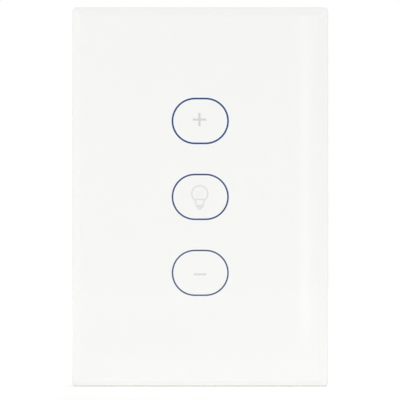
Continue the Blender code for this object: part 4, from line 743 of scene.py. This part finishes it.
threadLook = {"pitch": 0.0005, "wire": 0.00012, "steps": 16, "sides": 4}
screwLook = {                            # radius of the shank, and where its thread starts and ends
    "terminal": {"shank": 0.0015, "front": 0.0087, "back": 0.0129},
    "housing": {"shank": 0.0011, "front": 0.0002, "back": 0.0048},
    "board": {"shank": 0.0010, "front": -0.0045, "back": -0.0021},
}


def helixGrowth():
    # A wire wound round the Y axis, from each point towards the glass
    growth = Growth("woundWire", coilSizes, wireCounts)
    growth.planted(growth.coil(), towardsGlass)
    return growth


def addThreads(name, helix, screws, look, body):
    # A thread as a fine wire wound round each shank
    points = [middleOf(screw, look["back"]) for screw in screws]
    length = look["back"] - look["front"]
    values = {**sized(threadLook, "wire", "steps", "sides"), "Radius": look["shank"], "Length": length,
              "Turns": length / threadLook["pitch"], "Material": metals["zincSteel"]}
    helix.grow(name, points, body, "zinc_steel", values)


helix = helixGrowth()
for word in terminalWords:
    screw = word + "_screw"
    addThreads(word + "_thread", helix, [screw], screwLook["terminal"], screw + "_body")
for kind in ("housing", "board"):
    screws = [f"{kind}_screw_{number}" for number in range(1, 5)]
    addThreads(kind + "_threads", helix, screws, screwLook[kind], "base")
print("threads cut")


springLook = {"radius": 0.0038, "wire": 0.00025, "turns": 3.0, "steps": 32, "sides": 10}


def springGrowth():
    # The coil of a touch spring with the straight leg that goes through the board
    growth = Growth("touchSpring", (*coilSizes, "Leg"), wireCounts)
    given = growth.given
    start = growth.vector(given["Radius"], 0.0, 0.0)
    end = growth.vector(given["Radius"], 0.0, 0.0 - given["Leg"])
    line = growth.add("GeometryNodeCurvePrimitiveLine", inputs={"Start": start, "End": end})
    leg = growth.wire(line, given["Wire"], given["Sides"])
    growth.planted(growth.joined(growth.coil(), leg), towardsGlass)
    return growth


spring = springGrowth()
for word in keyWords:
    plain = "touch_spring_" + word
    low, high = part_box(plain)
    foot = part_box("touch_board")[0].y - springLook["wire"]
    tip = low.y + springLook["wire"]
    values = {**sized(springLook, "radius", "wire", "turns", "steps", "sides"), "Length": foot - tip,
              "Leg": high.y - foot, "Material": metals["springSteel"]}
    piece = spring.grow("wire_spring_" + word, [middleOf(plain, foot)], "base", "spring_steel", values)
    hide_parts(plain)
print("springs wound")


chokeLook = {"wire": 0.00021, "pitch": 0.00044, "steps": 20, "sides": 6}


def windChoke(look, helix):
    low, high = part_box("choke_coil")
    start = high.y - look["wire"]
    length = start - low.y - look["wire"]
    values = {**sized(look, "wire", "steps", "sides"), "Radius": (high.x - low.x) / 2, "Length": length,
              "Turns": length / look["pitch"], "Material": metals["copperWire"]}
    helix.grow("choke_winding", [middleOf("choke_coil", start)], "base", "copper_wire", values)


windChoke(chokeLook, helix)
print("choke wound")


solderLook = {
    "foot": 0.00085, "neck": 0.00042, "height": 0.0007, "around": 10, "rings": 3, "hollow": 0.45,
    "proud": 0.0005,                     # a wire's end stands further than this out of the board
    "apart": 0.001,                      # points closer than this are on one wire
}
leadedParts = ["fuse", "varistor", "choke_core", "transformer_base", "rectifier", "film_capacitor",
               "bulk_capacitor_left", "bulk_capacitor_right", "wireless_module",
               "power_transistor_left", "power_transistor_right"]


def leadEnds(name, look):
    # Where a part's wires come out in front of the power board
    clusters = []
    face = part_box("power_board")[0].y
    for vert in nodes[name].data.vertices:
        spot = vert.co
        if spot.y > face - look["proud"]:
            continue
        near = [cluster for cluster in clusters if (cluster[0] - spot).length < look["apart"]]
        if near:
            near[0].append(spot)
        else:
            clusters.append([spot])
    ends = []
    for cluster in clusters:
        xs, zs = [spot.x for spot in cluster], [spot.z for spot in cluster]
        ends.append(((min(xs) + max(xs)) / 2, face, (min(zs) + max(zs)) / 2))
    return ends


def solderGrowth():
    # A cone of solder that climbs a wire, hollow by the most at half its height
    growth = Growth("solderJoint", ("Foot", "Neck", "Height", "Hollow"), ("Around", "Rings"))
    given = growth.given
    inputs = {"Vertices": given["Around"], "Side Segments": given["Rings"], "Radius Top": given["Neck"],
              "Radius Bottom": given["Foot"], "Depth": given["Height"]}
    cone = growth.add("GeometryNodeMeshCone", inputs=inputs)
    x, y, z = growth.corners("X", "Y", "Z")
    rise = z / given["Height"]
    waist = 1.0 - given["Hollow"] * (rise * (1.0 - rise) * 4.0)
    inputs = {"Geometry": cone, "Position": growth.vector(x * waist, y * waist, z)}
    growth.planted(growth.add("GeometryNodeSetPosition", inputs=inputs), towardsGlass)
    return growth


joints = [end for name in leadedParts for end in leadEnds(name, solderLook)]
values = {**sized(solderLook, "foot", "neck", "height", "around", "rings", "hollow"),
          "Material": metals["solder"]}
solderGrowth().grow("power_solder", joints, "base", "tinned_steel", values)
print("solder joints:", len(joints))


smallPartLook = {
    "length": 0.0016, "width": 0.00082, "height": 0.00045, "cap": 0.0003,
    "capGrowth": (1.04, 1.06),           # the caps' width and height, as shares of the part's own
    "lidFrom": 0.4,                      # the top is eased: faces above this share of the height
    "lidRise": 0.15,
    "lidScale": 0.9,
    "padOut": 0.00098, "padWidth": 0.0011, "padHeight": 0.5,
    "step": 0.0023,
    "rowReach": 3, "rowHeight": 0.012,   # parts each way from the middle of a row, and where it lies
    "columnReach": 9, "columnAt": 0.0152, "columnShift": 0.0026, "columnStretch": 1.15,
    "skip": 0.22,                        # the share of places left empty
    "seed": 7,
    "resistor": (0.022, 0.022, 0.026),
    "capacitor": (0.36, 0.24, 0.13),
    "size": 0.0002, "detail": 2.0, "shade": (0.9, 1.15),         # of the specks in the glaze
    "shine": 0.15, "roughness": 0.3, "relief": 0.000006,
}


def smallPartGrowth(look):
    # A low block with an eased top, turned and set on the face of a board
    growth = Growth("smallPart", ("Length", "Width", "Height", "Shift", "Turn"))
    given = growth.given
    size = growth.vector(given["Length"], given["Width"], given["Height"])
    block = growth.add("GeometryNodeMeshCube", inputs={"Size": size})
    z, = growth.corners("Z")
    onTop = growth.add("FunctionNodeCompare", inputs={0: z, 1: given["Height"] * look["lidFrom"]})
    inputs = {"Mesh": block, "Selection": onTop, "Offset Scale": given["Height"] * look["lidRise"]}
    raised = growth.add("GeometryNodeExtrudeMesh", inputs=inputs)
    lid, = growth.others(raised, "Top")
    inputs = {"Geometry": raised, "Selection": lid, "Scale": look["lidScale"]}
    eased = growth.add("GeometryNodeScaleElements", inputs=inputs)
    inputs = {"Geometry": eased, "Translation": growth.vector(given["Shift"], 0.0, given["Height"] / 2)}
    shifted = growth.add("GeometryNodeTransform", inputs=inputs)
    growth.planted(shifted, growth.vector(math.pi / 2, given["Turn"], 0.0))
    return growth


def smallPartPlaces(look):
    # Rows between the keys and columns beside them, for parts that lie across (flat) or upright
    dice = random.Random(look["seed"])
    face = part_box("touch_board")[0].y
    flat, upright = [], []
    for side in (-1, 1):
        for number in range(-look["rowReach"], look["rowReach"] + 1):
            upright.append((number * look["step"], face, side * look["rowHeight"]))
        for number in range(-look["columnReach"], look["columnReach"] + 1):
            out = look["columnAt"] + look["columnShift"] * (number % 2)
            flat.append((side * out, face, number * look["step"] * look["columnStretch"]))
    flat = [place for place in flat if dice.random() > look["skip"]]
    upright = [place for place in upright if dice.random() > look["skip"]]
    return flat, upright


def addSmallParts(look):
    smallPart = smallPartGrowth(look)
    flat, upright = smallPartPlaces(look)
    resistor = speckledFinish("resistorGlaze", look["resistor"], look)
    capacitor = speckledFinish("capacitorCeramic", look["capacitor"], look)
    body = {"Length": look["length"] - look["cap"], "Width": look["width"], "Height": look["height"]}
    turned = {"Turn": math.pi / 2}
    smallPart.grow("board_resistors", flat, "base", "chip_epoxy", {**body, "Material": resistor})
    values = {**body, **turned, "Material": capacitor}
    smallPart.grow("board_capacitors", upright, "base", "fuse_ceramic", values)
    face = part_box("touch_board")[0].y
    lamps = [middleOf(name, face) for name in plasticParts["lampResin"]]
    wider, higher = look["capGrowth"]
    for word, side in (("left", -1), ("right", 1)):
        end = {"Length": look["cap"], "Width": look["width"] * wider, "Height": look["height"] * higher,
               "Shift": side * look["length"] / 2, "Material": metals["solder"]}
        smallPart.grow("resistor_ends_" + word, flat, "base", "tinned_steel", end)
        smallPart.grow("capacitor_ends_" + word, upright, "base", "tinned_steel", {**end, **turned})
        pad = {**end, "Width": look["padWidth"], "Height": look["height"] * look["padHeight"],
               "Shift": side * look["padOut"]}
        smallPart.grow("lamp_pads_" + word, lamps, "base", "tinned_steel", pad)
    return len(flat) + len(upright)


print("small parts:", addSmallParts(smallPartLook))


pinLook = {"radius": 0.0021, "ridge": 0.00006, "steps": 28, "sides": 4}
pinMarks = {                             # across is where the marks stand on both sides of the middle
    "frame_pin_marks": {                 # on the floor of the mounting frame
        "across": 0.0315, "heights": (-0.045, -0.015, 0.015, 0.045), "depth": -0.0022,
        "body": "base", "slot": "mounting_plastic", "plastic": "mountingPlastic",
    },
    "wall_pin_marks": {                  # on its back
        "across": 0.022, "heights": (-0.046, 0.046), "depth": 0.0,
        "body": "base", "slot": "mounting_plastic", "plastic": "mountingPlastic",
    },
    "housing_pin_marks": {
        "across": 0.0155, "heights": (-0.006, 0.008), "depth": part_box("rear_housing")[1].y,
        "body": "base", "slot": "housing_plastic", "plastic": "housingPlastic",
    },
    "panel_pin_marks": {                 # on the back of the panel's web
        "across": 0.018, "heights": (-0.044, 0.0, 0.044), "depth": -0.0064,
        "body": "front_panel", "slot": "frame_plastic", "plastic": "panelPlastic",
    },
}


def ringGrowth():
    # The faint raised ring that an ejector pin leaves on a moulding
    growth = Growth("pinRing", ("Radius", "Ridge"), wireCounts)
    given = growth.given
    inputs = {"Resolution": given["Steps"], "Radius": given["Radius"]}
    ring = growth.add("GeometryNodeCurvePrimitiveCircle", inputs=inputs)
    growth.planted(growth.wire(ring, given["Ridge"], given["Sides"]), towardsGlass)
    return growth


pinRing = ringGrowth()
for name, mark in pinMarks.items():
    places = [(side * mark["across"], mark["depth"], height)
              for side in (-1, 1) for height in mark["heights"]]
    values = {**sized(pinLook, "radius", "ridge", "steps", "sides"),
              "Material": plastics[mark["plastic"]]}
    pinRing.grow(name, places, mark["body"], mark["slot"], values)
print("moulding marks added")


terminalMarkLook = {
    "height": 0.0014,
    "width": 0.0010,
    "stroke": 0.00022,
    "relief": 0.00018,
    "sunk": 0.00002,
    "above": 0.0041,                     # over the middle of the screw
    "circlePoints": 24,
    "crossGap": 0.36,                    # where the second bar stops, as a share of the stroke
}


def terminalSign(word, look):
    # L, N, and a crossed circle for the lamp wire
    half, wide, stroke = look["height"] / 2, look["width"] / 2, look["stroke"]
    maker = bmesh.new()
    if word == "line":
        strip(maker, [(-wide, half), (-wide, -half), (wide, -half)], stroke)
    elif word == "neutral":
        strip(maker, [(-wide, -half), (-wide, half), (wide, -half), (wide, half)], stroke)
    else:
        count = look["circlePoints"]
        strip(maker, arc(half, 0.0, 360.0 - 360.0 / count, count - 1), stroke, closed=True)
        reach = (half - stroke / 2) * math.sqrt(0.5)
        near = stroke * look["crossGap"]
        strip(maker, [(-reach, -reach), (reach, reach)], stroke)
        strip(maker, [(-reach, reach), (-near, near)], stroke)
        strip(maker, [(near, -near), (reach, -reach)], stroke)
    return maker


def markTerminals(look):
    # Moulded signs over the screws, on the back of the terminal block
    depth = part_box("terminal_block")[1].y - look["sunk"]
    for word in terminalWords:
        x, y, z = middleOf(word + "_screw", depth)
        sign, place = terminalSign(word, look), (x, y, z + look["above"])
        layPrint(word + "_mark", sign, look["relief"], place, "base",
                 plastics["terminalPlastic"], flip=-1.0)


markTerminals(terminalMarkLook)
print("terminals marked")


white = (1.0, 1.0, 1.0, 1.0)
studioLook = {
    "floorSize": 1.5,
    "floorDrop": 0.00003,
    "floorColour": (0.90, 0.90, 0.89),
    "floorCloud": 0.4,
    "floorShade": (0.995, 1.005),
    "floorGlow": (0.12, 0.38),           # near and seen from above, and far away or seen edge-on
    "edgeOn": (0.78, 0.89),              # 0 looks straight down on the floor, 1 looks along it
    "far": (0.30, 0.70),
    "skyLevel": 0.50,
}
lampLook = {
    "leftLamp": {
        "place": (-0.40, -0.80, 0.12), "aim": (0.0, 0.0, 0.0), "size": (0.34, 0.34), "power": 2.04},
    "rightLamp": {
        "place": (0.40, -0.80, 0.12), "aim": (0.0, 0.0, 0.0), "size": (0.34, 0.34), "power": 1.45},
    "topLamp": {
        "place": (0.0, -0.55, 0.55), "aim": (0.0, 0.0, 0.0), "size": (0.40, 0.30), "power": 0.12},
    "lowLamp": {
        "place": (0.0, -0.073, -0.0598), "aim": (0.0, -0.073, 1.0), "size": (0.50, 0.12),
        "power": 0.035},
    "windowLamp": {                      # the pale upright strip in the glass
        "place": (0.0425, -0.212, 0.0088), "aim": (0.0425, 0.0, 0.0088), "size": (0.0037, 0.1365),
        "power": 0.00122},
    "backLamp": {
        "place": (0.20, 0.65, 0.60), "aim": (0.0, 0.0, 0.0), "size": (0.6, 0.6), "power": 2.4},
}


def seenRays(shader):
    # 1 for rays from the camera, from gloss and through glass, 0 for the rays that carry light
    rays = shader.add("ShaderNodeLightPath")
    seen, glossy, through = shader.others(rays, "Is Camera Ray", "Is Glossy Ray", "Is Transmission Ray")
    return seen.larger(glossy).larger(through)


def floorFinish(look):
    shader = newShader("paleFloor")
    cloud = shader.noise(look["floorCloud"], detail=1.0)
    colour = shader.shades(cloud, look["floorColour"], *look["floorShade"])
    surface = shader.add("ShaderNodeBsdfDiffuse", inputs={"Color": colour})
    facing = shader.add("ShaderNodeLayerWeight", inputs={"Blend": 0.5}, out="Facing")
    x, y = shader.split(shader.place(), "X", "Y")
    away = facing.ramp(*look["edgeOn"]).larger(x.length(y).ramp(*look["far"]))
    strength = seenRays(shader) * away.ramp(0.0, 1.0, *look["floorGlow"])
    glow = shader.add("ShaderNodeEmission", inputs={"Color": white, "Strength": strength})
    both = shader.add("ShaderNodeAddShader", inputs={0: surface, 1: glow})
    shader.add("ShaderNodeOutputMaterial", inputs={"Surface": both})
    return shader.owner


def makeFloor(look):
    half = look["floorSize"] / 2
    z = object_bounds()[0].z - look["floorDrop"]
    corners = [(-half, -half, z), (half, -half, z), (half, half, z), (-half, half, z)]
    mesh = bpy.data.meshes.new("floor")
    mesh.from_pydata(corners, [], [(0, 1, 2, 3)])
    mesh.materials.append(floorFinish(look))
    floor = bpy.data.objects.new("floor", mesh)
    scene.collection.objects.link(floor)
    floor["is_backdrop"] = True


def makeSky(look):
    scene.world = bpy.data.worlds.new("studioSky")
    shader = Shader(scene.world)
    carried = shader.add("ShaderNodeBackground", inputs={"Color": white, "Strength": look["skyLevel"]})
    shown = shader.add("ShaderNodeBackground", inputs={"Color": white, "Strength": 1.0})
    both = shader.add("ShaderNodeMixShader", inputs={0: seenRays(shader), 1: carried, 2: shown})
    shader.add("ShaderNodeOutputWorld", inputs={"Surface": both})


def makeLamp(name, look):
    lamp = bpy.data.lights.new(name, "AREA")
    lamp.shape = "RECTANGLE"
    lamp.size, lamp.size_y = look["size"]
    lamp.energy = look["power"]
    holder = bpy.data.objects.new(name, lamp)
    holder.location = look["place"]
    aim = Vector(look["aim"]) - Vector(look["place"])
    holder.rotation_euler = aim.to_track_quat("-Z", "Y").to_euler()
    holder.visible_camera = False
    scene.collection.objects.link(holder)


makeFloor(studioLook)
makeSky(studioLook)
for name, look in lampLook.items():
    makeLamp(name, look)
scene.view_settings.view_transform = "Standard"
print("studio lit")
